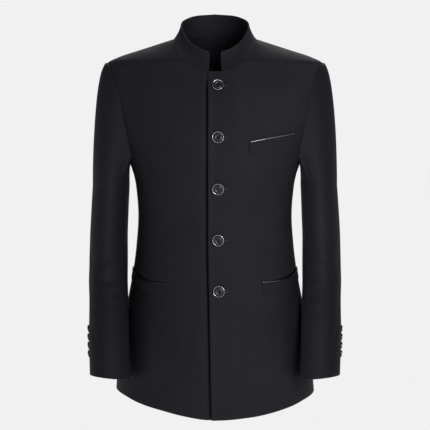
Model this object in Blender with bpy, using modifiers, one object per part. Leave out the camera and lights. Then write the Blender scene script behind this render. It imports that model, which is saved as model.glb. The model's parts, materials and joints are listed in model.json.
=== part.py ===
"""Mandarin collar blazer as it is worn: hollow, and open at the neck, hem and cuffs.

Each cut piece is a closed wall of cloth. Its outer face lies on one smooth garment
surface, and its inner face is that surface moved in along its own normal, so that
neighbouring pieces meet edge to edge with the same small gap all along a seam.
The tables are in millimetres. The wearer's left is +X and the front faces -Y.
The origin lies midway between the two points where the shoulder seams meet the collar.
"""
import math

import bpy
import numpy as np
from mathutils import Vector
from mathutils.bvhtree import BVHTree

MM = 0.001
CLOTH = 2.0
COLLAR_CLOTH = 3.0
SEAM_GAP = 0.3
SEAT_GAP = 0.4
LAP_LIFT = 2.6
LAP_END = 68.0
LAP_START = 38.0
NECK_HALF_WIDTH = 82.0
NECK_DROP = 68.5
NECK_BACK_RISE = 11.0
SHOULDER_TIP = (213.0, -47.0)
FRONT_JUNCTION_Z = -232.0
BACK_JUNCTION_Z = -210.0
HEM_TO_ARMHOLE_ROWS = 18
ARMHOLE_ROWS = 9
NECK_COLUMNS = 6
SHOULDER_COLUMNS = 6
SIDE_COLUMNS = 5
SLEEVE_HEAD_ROWS = 8
SLEEVE_ROWS = 13
BICEPS_Z = -290.0
CUFF_Z = -662.0
CUFF_TILT = -0.09
CUFF_SLANT = 0.11
SLEEVE_TWIST = 25.0
HIND_SEAM_ROW = 5
COLLAR_ROWS = 5
WELT_HEIGHT = 20.0
WELT_CLOTH = 1.5
PIPING_RADIUS = 1.5
BUTTON_OFFSET = 18.8
BUTTON_HEIGHTS = (-97.0, -196.0, -293.5, -392.0, -490.5)
CUFF_BUTTON_HEIGHTS = (-574.5, -590.5, -606.5, -622.5)
CUFF_BUTTON_ANGLE = -15.0

# Level sections of the body: height, half width, front, back and middle in y,
# then how square the front and the back of the section are (2 is an ellipse)
BODY = (
    (14.0, 38.6, -50.0, 69.0, 0.0, 1.80, 2.40),
    (0.0, 82.0, -55.0, 75.0, 0.0, 1.80, 2.30),
    (-20.0, 144.0, -66.0, 87.0, 0.0, 1.85, 2.15),
    (-36.0, 192.0, -79.0, 95.0, 0.0, 1.95, 2.05),
    (-47.0, 213.0, -87.0, 100.0, 0.0, 2.05, 2.10),
    (-58.0, 217.0, -90.0, 103.5, 0.0, 2.15, 2.15),
    (-80.0, 217.0, -99.0, 109.0, 0.0, 2.20, 2.20),
    (-100.0, 214.0, -108.0, 114.0, 0.0, 2.25, 2.25),
    (-130.0, 207.0, -119.0, 119.0, 0.0, 2.25, 2.25),
    (-165.0, 197.0, -129.0, 122.0, 0.0, 2.25, 2.25),
    (-200.0, 186.0, -136.0, 121.5, 0.0, 2.25, 2.25),
    (-232.0, 174.5, -138.5, 119.0, 0.0, 2.25, 2.25),
    (-250.0, 168.0, -139.0, 117.0, 0.0, 2.25, 2.25),
    (-270.0, 161.5, -138.0, 113.5, 0.0, 2.25, 2.25),
    (-290.0, 157.5, -136.5, 109.5, 0.0, 2.25, 2.25),
    (-350.0, 153.0, -130.5, 99.0, 0.0, 2.20, 2.20),
    (-410.0, 157.0, -129.5, 102.0, 1.0, 2.20, 2.20),
    (-456.0, 163.0, -130.5, 109.5, 5.0, 2.20, 2.25),
    (-506.0, 172.5, -133.5, 119.5, 14.0, 2.20, 2.25),
    (-560.0, 183.5, -137.5, 128.0, 19.0, 2.20, 2.25),
    (-620.0, 192.0, -141.0, 134.5, 23.0, 2.20, 2.25),
    (-690.0, 199.0, -144.5, 141.0, 25.0, 2.20, 2.25),
    (-740.0, 203.0, -147.0, 145.5, 25.0, 2.20, 2.25),
)

# Armhole: height, distance out at the front, distance out at the back
ARMHOLE = (
    (-47.0, 213.0, 213.0),
    (-60.0, 205.5, 206.0),
    (-75.0, 199.0, 200.5),
    (-90.0, 193.5, 196.5),
    (-110.0, 188.0, 192.0),
    (-130.0, 184.0, 188.0),
    (-150.0, 180.0, 184.5),
    (-170.0, 176.0, 180.5),
    (-190.0, 172.0, 175.5),
    (-210.0, 168.0, 170.5),
    (-232.0, 164.0, 165.0),
)

# Side seams round the body: height, front seam and back seam in degrees from the centre front
SIDE_SEAMS = (
    (-210.0, 67.0, 111.0),
    (-232.0, 67.0, 111.0),
    (-330.0, 79.0, 112.0),
    (-450.0, 87.0, 112.0),
    (-740.0, 88.0, 110.0),
)

# Top of the side piece under the arm: share of the way from front seam to back seam, height
UNDERARM = (
    (0.0, -232.0),
    (0.2, -243.5),
    (0.4, -249.0),
    (0.6, -247.5),
    (0.8, -236.0),
    (1.0, -210.0),
)

# Hem: degrees from the centre front, height
HEM = (
    (-25.0, -736.5),
    (0.0, -737.0),
    (15.0, -732.0),
    (30.0, -724.0),
    (45.0, -715.0),
    (62.0, -706.0),
    (80.0, -702.0),
    (100.0, -701.0),
    (130.0, -705.0),
    (160.0, -710.0),
    (180.0, -712.0),
)

# Overlapping edge of the upper front: height, distance past the centre
FRONT_EDGE = (
    (-40.0, 13.4),
    (-400.0, 13.0),
    (-520.0, 10.8),
    (-740.0, 6.8),
)

# Hidden edge of the lower front: height, distance past the centre
UNDERLAP = (
    (-40.0, 9.0),
    (-68.0, 9.0),
    (-117.0, 26.0),
    (-740.0, 26.0),
)

# Collar top edge: degrees from the centre front, height
COLLAR_TOP = (
    (0.0, -31.0),
    (15.0, -27.5),
    (25.0, -23.5),
    (34.0, -18.5),
    (52.0, -4.5),
    (66.0, 8.5),
    (80.0, 20.5),
    (90.0, 28.0),
    (120.0, 42.0),
    (150.0, 51.0),
    (180.0, 54.0),
)
COLLAR_TOP_HALF_WIDTH = 68.0
COLLAR_TOP_FRONT = -78.0
COLLAR_TOP_BACK = 60.0
COLLAR_ENDS = (9.0, -8.6)

# Sleeve rings: height, centre out, centre in y, half width, half depth
SLEEVE = (
    (-290.0, 207.5, 5.0, 36.5, 78.0),
    (-340.0, 210.0, 1.0, 37.0, 74.0),
    (-400.0, 212.0, -6.0, 37.5, 70.0),
    (-470.0, 212.0, -22.0, 38.5, 65.0),
    (-520.0, 209.5, -46.0, 38.5, 60.0),
    (-580.0, 207.5, -78.0, 39.0, 57.0),
    (-662.0, 203.5, -112.0, 38.5, 54.0),
)

# Broad folds of the body: side of the body, start and end as out and height, spread, swell
BODY_FOLDS = (
    ("front", 150.0, -215.0, 92.0, -318.0, 20.0, -3.0),
    ("front", 128.0, -205.0, 70.0, -250.0, 26.0, 2.0),
    ("front", 128.0, -505.0, 150.0, -735.0, 24.0, 4.0),
    ("front", 78.0, -520.0, 96.0, -735.0, 22.0, -3.0),
    ("front", 30.0, -345.0, 118.0, -385.0, 16.0, -2.0),
    ("back", 62.0, -250.0, 74.0, -640.0, 24.0, -4.0),
    ("back", 128.0, -480.0, 142.0, -710.0, 24.0, 4.0),
    ("back", 150.0, -130.0, 108.0, -260.0, 24.0, 4.0),
    ("back", 0.0, -352.0, 96.0, -338.0, 15.0, -3.0),
    ("back", 0.0, 5.0, 40.0, -40.0, 18.0, 1.0),
)

# Broad folds of a sleeve: start and end as degrees round the sleeve and height, spread, swell
SLEEVE_FOLDS = (
    (150.0, -415.0, 75.0, -440.0, 13.0, -4.0),
    (160.0, -462.0, 70.0, -478.0, 13.0, -4.5),
    (165.0, -515.0, 90.0, -500.0, 13.0, -3.5),
    (20.0, -455.0, 70.0, -430.0, 16.0, -2.0),
    (-120.0, -330.0, -60.0, -420.0, 18.0, -3.0),
    (30.0, -560.0, 70.0, -610.0, 14.0, -2.0),
    (60.0, -140.0, 80.0, -290.0, 16.0, -3.0),
)

# Breast welt: distance out and height of the top edge
BREAST_POCKET = (
    (65.0, -206.0),
    (93.0, -200.5),
    (121.0, -195.0),
    (149.0, -189.5),
)

# Side pocket: degrees from the centre front and height of the mouth
SIDE_POCKET = (
    (31.0, -476.0),
    (42.0, -475.5),
    (54.0, -473.0),
    (66.0, -468.0),
    (76.0, -461.0),
    (84.0, -453.0),
)

# Button profile from the middle of the face to the back of the shank: radius, height
BUTTON = (
    (0.0, 4.7),
    (8.6, 4.7),
    (9.8, 5.4),
    (11.0, 4.8),
    (11.0, 3.4),
    (9.6, 2.4),
    (2.6, 2.2),
    (2.6, 0.0),
    (0.0, 0.0),
)
CUFF_BUTTON = (
    (0.0, 3.2),
    (6.0, 3.4),
    (7.5, 2.9),
    (7.3, 1.3),
    (1.8, 1.0),
    (1.8, 0.0),
    (0.0, 0.0),
)
BUTTON_STEPS = 16
CUFF_BUTTON_STEPS = 12

FINISHES = {
    "cloth_left": ((0.022, 0.021, 0.025), 0.0, 0.85),
    "cloth_right": ((0.016, 0.015, 0.019), 0.0, 0.85),
    "piping": ((0.012, 0.012, 0.014), 0.0, 0.3),
    "button": ((0.05, 0.05, 0.055), 0.6, 0.3),
}


def smooth(rows, column=1):
    """Return a function of the first column that runs through another column without overshoot."""
    table = np.array(sorted(row[:1] + (row[column],) for row in rows), float)
    x, y = table[:, 0], table[:, 1]
    step = np.diff(x)
    slope = np.diff(y) / step
    before, after = slope[:-1], slope[1:]
    same = before * after > 0.0
    near, far = 2.0 * step[1:] + step[:-1], step[1:] + 2.0 * step[:-1]
    mean = (near + far) / (near / np.where(same, before, 1.0) + far / np.where(same, after, 1.0))
    tangent = np.concatenate([slope[:1], np.where(same, mean, 0.0), slope[-1:]])

    def value(at):
        at = np.clip(np.asarray(at, float), x[0], x[-1])
        k = np.clip(np.searchsorted(x, at, side="right") - 1, 0, len(step) - 1)
        h = step[k]
        u = (at - x[k]) / h
        start = (1.0 + 2.0 * u) * (1.0 - u) ** 2 * y[k] + u * (1.0 - u) ** 2 * h * tangent[k]
        end = u * u * (3.0 - 2.0 * u) * y[k + 1] - u * u * (1.0 - u) * h * tangent[k + 1]
        return start + end

    return value


half_width, front_y, back_y, middle_y = (smooth(BODY, k) for k in (1, 2, 3, 4))
front_square, back_square = smooth(BODY, 5), smooth(BODY, 6)
armhole_front, armhole_back = smooth(ARMHOLE, 1), smooth(ARMHOLE, 2)
front_seam, back_seam = smooth(SIDE_SEAMS, 1), smooth(SIDE_SEAMS, 2)
underarm, hem = smooth(UNDERARM), smooth(HEM)
front_edge, collar_top = smooth(FRONT_EDGE), smooth(COLLAR_TOP)
sleeve_x, sleeve_y, sleeve_half_width, sleeve_half_depth = (smooth(SLEEVE, k) for k in (1, 2, 3, 4))


def ease(value, start, end):
    """Rise smoothly from 0 at start to 1 at end."""
    u = np.clip((value - start) / (end - start), 0.0, 1.0)
    return u * u * (3.0 - 2.0 * u)


def unit(vectors):
    """Scale vectors to length one."""
    return vectors / np.maximum(np.linalg.norm(vectors, axis=-1, keepdims=True), 1e-9)


def ridge_swell(folds, across, height):
    """Add up soft ridges and troughs, each along a line that fades at its two ends."""
    total = np.zeros(np.broadcast(across, height).shape)
    for x0, z0, x1, z1, spread, swell in folds:
        length2 = (x1 - x0) ** 2 + (z1 - z0) ** 2
        along = ((across - x0) * (x1 - x0) + (height - z0) * (z1 - z0)) / length2
        held = np.clip(along, 0.0, 1.0)
        off = np.hypot(across - x0 - held * (x1 - x0), height - z0 - held * (z1 - z0))
        total = total + swell * np.exp(-((off / spread) ** 2)) * (0.35 + 0.65 * np.sin(np.pi * held) ** 2)
    return total


def turn_of(x, z, back=False):
    """Degrees from the centre front of the point that lies at x on the section at height z."""
    power = back_square(z) if back else front_square(z)
    share = np.clip(np.abs(x) / half_width(z), 0.0, 1.0)
    turn = np.degrees(np.arcsin(share ** (power / 2.0)))
    return np.sign(x) * (180.0 - turn) if back else np.sign(x) * turn


def body(turn, z):
    """Outer point and outward normal of the garment body at a turn in degrees and a height."""
    turn, z = np.broadcast_arrays(np.asarray(turn, float), np.asarray(z, float))
    angle = np.radians(turn)
    rear = np.cos(angle) < 0.0
    power = np.where(rear, back_square(z), front_square(z))
    sine, cosine = np.sin(angle), np.cos(angle)
    x = half_width(z) * np.sign(sine) * np.abs(sine) ** (2.0 / power)
    depth = np.where(rear, back_y(z) - middle_y(z), front_y(z) - middle_y(z))
    y = middle_y(z) + depth * np.abs(cosine) ** (2.0 / power)
    point = np.stack([x, y, z], -1)

    def level(px, py, pz):
        behind = py > middle_y(pz)
        n = np.where(behind, back_square(pz), front_square(pz))
        reach = np.where(behind, back_y(pz) - middle_y(pz), front_y(pz) - middle_y(pz))
        return (np.abs(px / half_width(pz)) ** n + np.abs((py - middle_y(pz)) / reach) ** n) ** (1.0 / n)

    e = 0.5
    normal = unit(np.stack([
        level(x + e, y, z) - level(x - e, y, z),
        level(x, y + e, z) - level(x, y - e, z),
        level(x, y, z + e) - level(x, y, z - e),
    ], -1))
    reach = np.abs(x)
    front_folds = [row[1:] for row in BODY_FOLDS if row[0] == "front"]
    rear_folds = [row[1:] for row in BODY_FOLDS if row[0] == "back"]
    blend = ease(y, -25.0, 25.0)
    quiet = ease(half_width(z) - reach, 0.5, 22.0) * ease(-z, 60.0, 120.0)
    swell = (1.0 - blend) * ridge_swell(front_folds, reach, z) + blend * ridge_swell(rear_folds, reach, z)
    return point + normal * (swell * quiet)[..., None], normal


def grid_normals(points, around=False):
    """Normals of a grid of points, from the differences along rows and columns."""
    up = np.gradient(points, axis=0)
    if around:
        side = np.roll(points, -1, axis=1) - np.roll(points, 1, axis=1)
    else:
        side = np.gradient(points, axis=1)
    return unit(np.cross(side, up))


def pull_edges(outer, inner, gaps):
    """Draw each edge of a grid in by its gap, along the cloth: first row, last row, first and last column."""
    first_row, last_row, first_column, last_column = gaps
    moves = np.zeros_like(outer)
    moves[0] += unit(outer[1] - outer[0]) * first_row
    moves[-1] += unit(outer[-2] - outer[-1]) * last_row
    moves[:, 0] += unit(outer[:, 1] - outer[:, 0]) * first_column
    moves[:, -1] += unit(outer[:, -2] - outer[:, -1]) * last_column
    return outer + moves, inner + moves


def wall_faces(outer):
    """Triangles of a closed wall: outer grid first, inner grid after it, each square cut the short way."""
    rows, columns = outer.shape[:2]
    inside = rows * columns
    rising = np.linalg.norm(outer[1:, 1:] - outer[:-1, :-1], axis=2)
    falling = np.linalg.norm(outer[1:, :-1] - outer[:-1, 1:], axis=2)
    faces = []
    for r in range(rows - 1):
        for c in range(columns - 1):
            a = r * columns + c
            b, d, e = a + 1, a + columns + 1, a + columns
            cut = [(a, b, d), (a, d, e)] if rising[r, c] <= falling[r, c] else [(a, b, e), (b, d, e)]
            faces += cut
            faces += [(i + inside, k + inside, j + inside) for i, j, k in cut]
    rim = [c for c in range(columns)]
    rim += [r * columns + columns - 1 for r in range(1, rows)]
    rim += [(rows - 1) * columns + c for c in range(columns - 2, -1, -1)]
    rim += [r * columns for r in range(rows - 2, 0, -1)]
    for k, a in enumerate(rim):
        b = rim[(k + 1) % len(rim)]
        faces += [(b, a, a + inside), (b, a + inside, b + inside)]
    return faces


def add_object(name, data, finish):
    """Put mesh or curve data in the collection of parts with a material of its own."""
    obj = bpy.data.objects.new(name, data)
    parts.objects.link(obj)
    colour, metallic, roughness = FINISHES[finish]
    material = bpy.data.materials.new(name)
    material.use_nodes = True
    shader = material.node_tree.nodes["Principled BSDF"]
    shader.inputs["Base Color"].default_value = (*colour, 1.0)
    shader.inputs["Metallic"].default_value = metallic
    shader.inputs["Roughness"].default_value = roughness
    data.materials.append(material)
    return obj


def add_wall(name, outer, inner, finish, mirrored=False):
    """Make a closed wall of cloth from its outer and inner grids, mirrored to the right if asked."""
    points = np.concatenate([outer.reshape(-1, 3), inner.reshape(-1, 3)])
    faces = wall_faces(outer)
    if mirrored:
        points = points * (-1.0, 1.0, 1.0)
        faces = [tuple(reversed(face)) for face in faces]
    mesh = bpy.data.meshes.new(name)
    mesh.from_pydata((points * MM).tolist(), [], faces)
    mesh.update()
    return add_object(name, mesh, finish)


def lap_lift(x):
    """Height of the upper front over the lower one, at a distance x to the wearer's left."""
    return LAP_LIFT * (1.0 - ease(x, LAP_START, LAP_END))


def neck_front(angle):
    """Distance out and height of the front neckline at an angle in degrees from the centre."""
    return NECK_HALF_WIDTH * np.sin(np.radians(angle)), -NECK_DROP * np.cos(np.radians(angle))


def neck_back(angle):
    """Distance out and height of the back neckline at an angle in degrees from the centre back."""
    sine = np.sin(np.radians(angle))
    return NECK_HALF_WIDTH * sine, NECK_BACK_RISE * (1.0 - np.abs(sine))


def shoulder_line(share):
    """Distance out and height of the shoulder seam, from the neck point to the tip."""
    x = NECK_HALF_WIDTH + (SHOULDER_TIP[0] - NECK_HALF_WIDTH) * share
    heights = np.linspace(0.0, SHOULDER_TIP[1], 400)
    return x, np.interp(x, half_width(heights), heights)


def upper_block(x_base, z_base, x_top, z_top, arm_x, even):
    """Rows from the chest up to the neckline and shoulder, with the last column on the armhole."""
    t = np.linspace(0.0, 1.0, ARMHOLE_ROWS + 1)[:, None]
    share = (1.0 - even) * np.sin(0.5 * np.pi * t) + even * t
    z = z_base + (z_top - z_base) * share
    straight = (1.0 - t) * x_base + t * x_top
    weight = np.linspace(0.0, 1.0, len(x_top)) ** 3
    x = straight + weight * (arm_x(z[:, -1:]) - straight[:, -1:])
    return x, np.broadcast_to(z, x.shape)


def neck_start(edge):
    """Degrees from the centre at which the neckline of a front piece begins."""
    return -math.degrees(math.asin(float(edge(-60.0)) / NECK_HALF_WIDTH))


def front_grid(edge):
    """Turns and heights of a front piece whose front edge passes the centre by edge(height)."""
    columns = NECK_COLUMNS + SHOULDER_COLUMNS
    s = np.linspace(0.0, 1.0, columns + 1)
    rise = np.linspace(0.0, 1.0, HEM_TO_ARMHOLE_ROWS + 1)[:, None]
    lowest = float(hem(0.0))
    z = lowest + (FRONT_JUNCTION_Z - lowest) * rise + 0.0 * s
    for _ in range(6):
        start = turn_of(-edge(z), z)
        turn = start + s * (front_seam(z) - start)
        z = hem(turn) + (FRONT_JUNCTION_Z - hem(turn)) * rise
    base_x = body(turn[-1], z[-1])[0][:, 0]
    x_neck, z_neck = neck_front(np.linspace(neck_start(edge), 90.0, NECK_COLUMNS + 1))
    x_shoulder, z_shoulder = shoulder_line(np.linspace(0.0, 1.0, SHOULDER_COLUMNS + 1)[1:])
    x_top = np.concatenate([x_neck, x_shoulder])
    z_top = np.concatenate([z_neck, z_shoulder])
    even = np.clip(1.0 - s / s[NECK_COLUMNS], 0.0, 1.0) ** 1.5
    x, z_up = upper_block(base_x, FRONT_JUNCTION_Z, x_top, z_top, armhole_front, even)
    return np.concatenate([turn, turn_of(x, z_up)[1:]]), np.concatenate([z, z_up[1:]])


def front_piece(name, edge, lifted, finish, mirrored):
    """Make a front, lifted where it laps over the other. Return it, its armhole and its neckline."""
    turn, z = front_grid(edge)
    outer, normal = body(turn, z)
    lift = lap_lift(outer[..., :1]) if lifted else 0.0
    outer, inner = outer + normal * lift, outer + normal * (lift - CLOTH)
    armhole_edge = outer[HEM_TO_ARMHOLE_ROWS:, -1].copy()
    neck = np.concatenate([outer[-1, :NECK_COLUMNS + 1], normal[-1, :NECK_COLUMNS + 1]], axis=1)
    neck_edge = np.linspace(neck_start(edge), 90.0, NECK_COLUMNS + 1), neck
    half = 0.5 * SEAM_GAP
    outer, inner = pull_edges(outer, inner, (0.0, half, 0.0, half))
    return add_wall(name, outer, inner, finish, mirrored), armhole_edge, neck_edge


def back_piece(name, finish, mirrored):
    """Make one half of the back, from the centre seam out. Return it, its armhole and its neckline."""
    columns = NECK_COLUMNS + SHOULDER_COLUMNS
    s = np.linspace(0.0, 1.0, columns + 1)
    rise = np.linspace(0.0, 1.0, HEM_TO_ARMHOLE_ROWS + 1)[:, None]
    z = -700.0 + (BACK_JUNCTION_Z + 700.0) * rise + 0.0 * s
    for _ in range(6):
        turn = 180.0 + s * (back_seam(z) - 180.0)
        z = hem(turn) + (BACK_JUNCTION_Z - hem(turn)) * rise
    base_x = body(turn[-1], z[-1])[0][:, 0]
    x_neck, z_neck = neck_back(np.linspace(0.0, 90.0, NECK_COLUMNS + 1))
    x_shoulder, z_shoulder = shoulder_line(np.linspace(0.0, 1.0, SHOULDER_COLUMNS + 1)[1:])
    x_top = np.concatenate([x_neck, x_shoulder])
    z_top = np.concatenate([z_neck, z_shoulder])
    x, z_up = upper_block(base_x, BACK_JUNCTION_Z, x_top, z_top, armhole_back, 0.0)
    rear = turn_of(np.maximum(x, 1e-6), z_up, back=True)
    turn = np.concatenate([turn, rear[1:]])
    z = np.concatenate([z, z_up[1:]])
    outer, normal = body(turn, z)
    outer[:, 0, 0] = 0.0
    inner = outer - normal * CLOTH
    inner[:, 0, 0] = 0.0
    armhole_edge = outer[HEM_TO_ARMHOLE_ROWS:, -1].copy()
    neck = np.concatenate([outer[-1, :NECK_COLUMNS + 1], normal[-1, :NECK_COLUMNS + 1]], axis=1)
    neck_edge = np.linspace(180.0, 90.0, NECK_COLUMNS + 1), neck
    half = 0.5 * SEAM_GAP
    outer, inner = pull_edges(outer[:, ::-1], inner[:, ::-1], (0.0, half, half, half))
    return add_wall(name, outer, inner, finish, mirrored), armhole_edge, neck_edge


def side_piece(name, finish, mirrored):
    """Make the piece under the arm, between front and back. Return the object and its top edge."""
    s = np.linspace(0.0, 1.0, SIDE_COLUMNS + 1)
    rise = np.linspace(0.0, 1.0, HEM_TO_ARMHOLE_ROWS + 1)[:, None]
    z = -690.0 + (underarm(s) + 690.0) * rise
    for _ in range(6):
        turn = front_seam(z) + s * (back_seam(z) - front_seam(z))
        z = hem(turn) + (underarm(s) - hem(turn)) * rise
    outer, normal = body(turn, z)
    inner = outer - normal * CLOTH
    top = outer[-1].copy()
    half = 0.5 * SEAM_GAP
    outer, inner = pull_edges(outer, inner, (0.0, half, half, half))
    return add_wall(name, outer, inner, finish, mirrored), top


def sleeve_ring(theta, z):
    """Points of the sleeve at angles in degrees from the outside, forwards, and at heights."""
    down = (BICEPS_Z - z) / (BICEPS_Z - CUFF_Z)
    angle = np.radians(theta + SLEEVE_TWIST * down)
    half_x, half_y = sleeve_half_width(z), sleeve_half_depth(z)
    swell = ridge_swell(SLEEVE_FOLDS, theta + SLEEVE_TWIST * down, z)
    swell = swell * ease(z, CUFF_Z, CUFF_Z + 60.0)
    x = sleeve_x(z) + (half_x + swell) * np.cos(angle)
    y = sleeve_y(z) - (half_y + swell) * np.sin(angle)
    tilt = CUFF_TILT * (y - sleeve_y(z)) * down + CUFF_SLANT * (x - sleeve_x(z) + half_x) * down ** 2
    return np.stack(np.broadcast_arrays(x, y, z + tilt), -1)


def sleeve_grid(loop):
    """Rows of points from the armhole loop over the sleeve head and down to the cuff."""
    centre_z = 0.5 * (loop[:, 2].max() + loop[:, 2].min())
    reach_z = 0.5 * (loop[:, 2].max() - loop[:, 2].min())
    theta = np.degrees(np.arctan2(-loop[:, 1] / 65.0, (loop[:, 2] - centre_z) / reach_z))
    theta = np.where(theta < -160.0, theta + 360.0, theta)
    start = loop + np.array([SEAM_GAP, 0.0, 0.0])
    end = sleeve_ring(theta, np.full(len(theta), BICEPS_Z))
    height = np.clip((loop[:, 2] - loop[:, 2].min()) / (2.0 * reach_z), 0.0, 1.0)
    push = 14.0 + 64.0 * height ** 1.5
    rise = 0.22 * ease(height, 0.8, 1.0)
    out = np.stack([push, 0.0 * push, push * rise], -1)
    drop = 0.8 * np.linalg.norm(end - start, axis=1)
    down = np.stack([0.0 * drop, 0.0 * drop, -drop], -1)
    rows = []
    for u in np.linspace(0.0, 1.0, SLEEVE_HEAD_ROWS + 1):
        a = (1.0 + 2.0 * u) * (1.0 - u) ** 2
        b = u * (1.0 - u) ** 2
        c = u * u * (3.0 - 2.0 * u)
        d = -u * u * (1.0 - u)
        rows.append(a * start + b * out + c * end + d * down)
    for z in np.linspace(BICEPS_Z, CUFF_Z, SLEEVE_ROWS + 1)[1:]:
        rows.append(sleeve_ring(theta, np.full(len(theta), z)))
    return np.array(rows)


def sleeve_pieces(side, front_arm, under_arm, back_arm, mirrored):
    """Make the upper and under piece of one sleeve round the armhole loop."""
    loop = np.concatenate([front_arm[::-1], under_arm[1:-1], back_arm[:-1]])
    points = sleeve_grid(loop)
    normal = -grid_normals(points[::-1], around=True)[::-1]
    normal = -normal if (normal[0, 0, 2] < 0.0) else normal
    inner = points - normal * CLOTH
    front_seam_column = len(front_arm) - 1
    hind_seam_column = len(front_arm) + len(under_arm) - 2 + HIND_SEAM_ROW
    under = list(range(front_seam_column, hind_seam_column + 1))
    top = list(range(hind_seam_column, len(loop))) + list(range(0, front_seam_column + 1))
    half = 0.5 * SEAM_GAP
    made = {}
    for label, columns in (("top", top), ("under", under)):
        outside = points[::-1][:, columns[::-1]]
        inside = inner[::-1][:, columns[::-1]]
        outside, inside = pull_edges(outside, inside, (0.0, 0.0, half, half))
        name = "sleeve_" + label + "_" + side
        made[label] = add_wall(name, outside, inside, "cloth_" + side, mirrored)
    return made


def halved(angles):
    """Put a further angle midway between each two."""
    between = 0.5 * (angles[1:] + angles[:-1])
    return np.sort(np.concatenate([angles, between]))


def collar_piece(neck_left, neck_right, neck_rear):
    """Make the standing collar on the edges of the necklines, with its two ends apart in front."""
    rear_angles, rear_points = neck_rear[0][::-1], neck_rear[1][::-1]
    sizes, lows = [], []
    for end, (angles, points) in ((COLLAR_ENDS[0], neck_left), (-COLLAR_ENDS[1], neck_right)):
        front = halved(np.concatenate([[end], angles[angles > end + 1.0]]))
        rear = halved(rear_angles)[1:]
        low_front = np.stack([np.interp(front, angles, points[:, k]) for k in range(6)], -1)
        low_rear = np.stack([np.interp(rear, rear_angles, rear_points[:, k]) for k in range(6)], -1)
        sizes.append(np.concatenate([front, rear]))
        lows.append(np.concatenate([low_front, low_rear]))
    lows[1] = lows[1] * (-1.0, 1.0, 1.0, -1.0, 1.0, 1.0)
    size = np.concatenate([sizes[0], sizes[1][-2::-1]])
    low, low_normal = np.split(np.concatenate([lows[0], lows[1][-2::-1]]), 2, axis=1)
    side = np.concatenate([np.ones(len(sizes[0])), -np.ones(len(sizes[1]) - 1)])
    middle = 0.5 * (COLLAR_TOP_BACK + COLLAR_TOP_FRONT)
    depth = 0.5 * (COLLAR_TOP_BACK - COLLAR_TOP_FRONT)
    angle = np.radians(size)
    x_high = side * COLLAR_TOP_HALF_WIDTH * np.sin(angle)
    high = np.stack([x_high, middle - depth * np.cos(angle), collar_top(size)], -1)
    shares = np.linspace(0.0, 1.0, COLLAR_ROWS)
    leans = [1.0 - (1.0 - v) ** 1.8 for v in shares]
    points = np.array([low + (high - low) * (lean, lean, v) for lean, v in zip(leans, shares)])
    normal = grid_normals(points)
    normal[0] = unit(low_normal)
    inner = points - normal * COLLAR_CLOTH
    outer, inner = pull_edges(points, inner, (1.5 * SEAM_GAP, 0.0, 0.0, 0.0))
    return add_wall("collar", outer, inner, "cloth_left")


def finder(obj):
    """Return a function that finds where a ray from outside, along a normal, meets an object."""
    tree = BVHTree.FromPolygons([v.co for v in obj.data.vertices], [p.vertices for p in obj.data.polygons])

    def meet(point, normal):
        start = Vector((point + normal * 25.0) * MM)
        place = tree.ray_cast(start, Vector(-normal))[0]
        if place is None:
            place = tree.find_nearest(start)[0]
        return np.array(place) / MM

    return meet


def seat_points(meet, turn, z, mirrored):
    """Points on the outer face of a made piece and their normals, at turns and heights."""
    point, normal = body(turn, z)
    flip = np.array([-1.0 if mirrored else 1.0, 1.0, 1.0])
    flat = [meet(p * flip, n * flip) * flip for p, n in zip(point.reshape(-1, 3), normal.reshape(-1, 3))]
    return np.array(flat).reshape(point.shape), normal


def welt_piece(name, meet, turn, z, finish, mirrored):
    """Make a welt that lies on a front, down from the mouth of its pocket."""
    drop = np.linspace(WELT_HEIGHT, 0.0, 4)[:, None]
    seat, normal = seat_points(meet, turn + 0.0 * drop, z - drop, mirrored)
    inner = seat + normal * SEAT_GAP
    return add_wall(name, inner + normal * WELT_CLOTH, inner, finish, mirrored)


def piping_piece(name, meet, turn, z, mirrored):
    """Make the round piping along the mouth of a pocket, just above the welt."""
    seat, normal = seat_points(meet, turn, z + PIPING_RADIUS + SEAM_GAP, mirrored)
    centre = (seat + normal * (PIPING_RADIUS + SEAT_GAP)) * (-1.0 if mirrored else 1.0, 1.0, 1.0)
    curve = bpy.data.curves.new(name, "CURVE")
    curve.dimensions = "3D"
    curve.bevel_depth = PIPING_RADIUS * MM
    curve.bevel_resolution = 1
    curve.use_fill_caps = True
    spline = curve.splines.new("POLY")
    spline.points.add(len(centre) - 1)
    for point, place in zip(spline.points, centre * MM):
        point.co = (*place, 1.0)
    return add_object(name, curve, "piping")


def button_piece(name, seat, normal, profile, steps):
    """Turn a button profile about its axis and set it on the cloth, square to its normal."""
    mesh = bpy.data.meshes.new(name)
    points = [(radius * MM, 0.0, height * MM) for radius, height in profile]
    mesh.from_pydata(points, [(k, k + 1) for k in range(len(points) - 1)], [])
    obj = add_object(name, mesh, "button")
    turned = obj.modifiers.new("turned", "SCREW")
    turned.axis = "Z"
    turned.steps = steps
    turned.render_steps = steps
    turned.use_merge_vertices = True
    turned.merge_threshold = 0.00001
    outward = Vector(normal)
    obj.location = Vector(seat) * MM + outward.normalized() * SEAM_GAP * MM
    obj.rotation_euler = outward.to_track_quat("Z", "Y").to_euler()
    return obj


for old in list(bpy.data.objects):
    bpy.data.objects.remove(old)
parts = bpy.data.collections.new("mandarin_collar_blazer")
bpy.context.scene.collection.children.link(parts)

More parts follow.
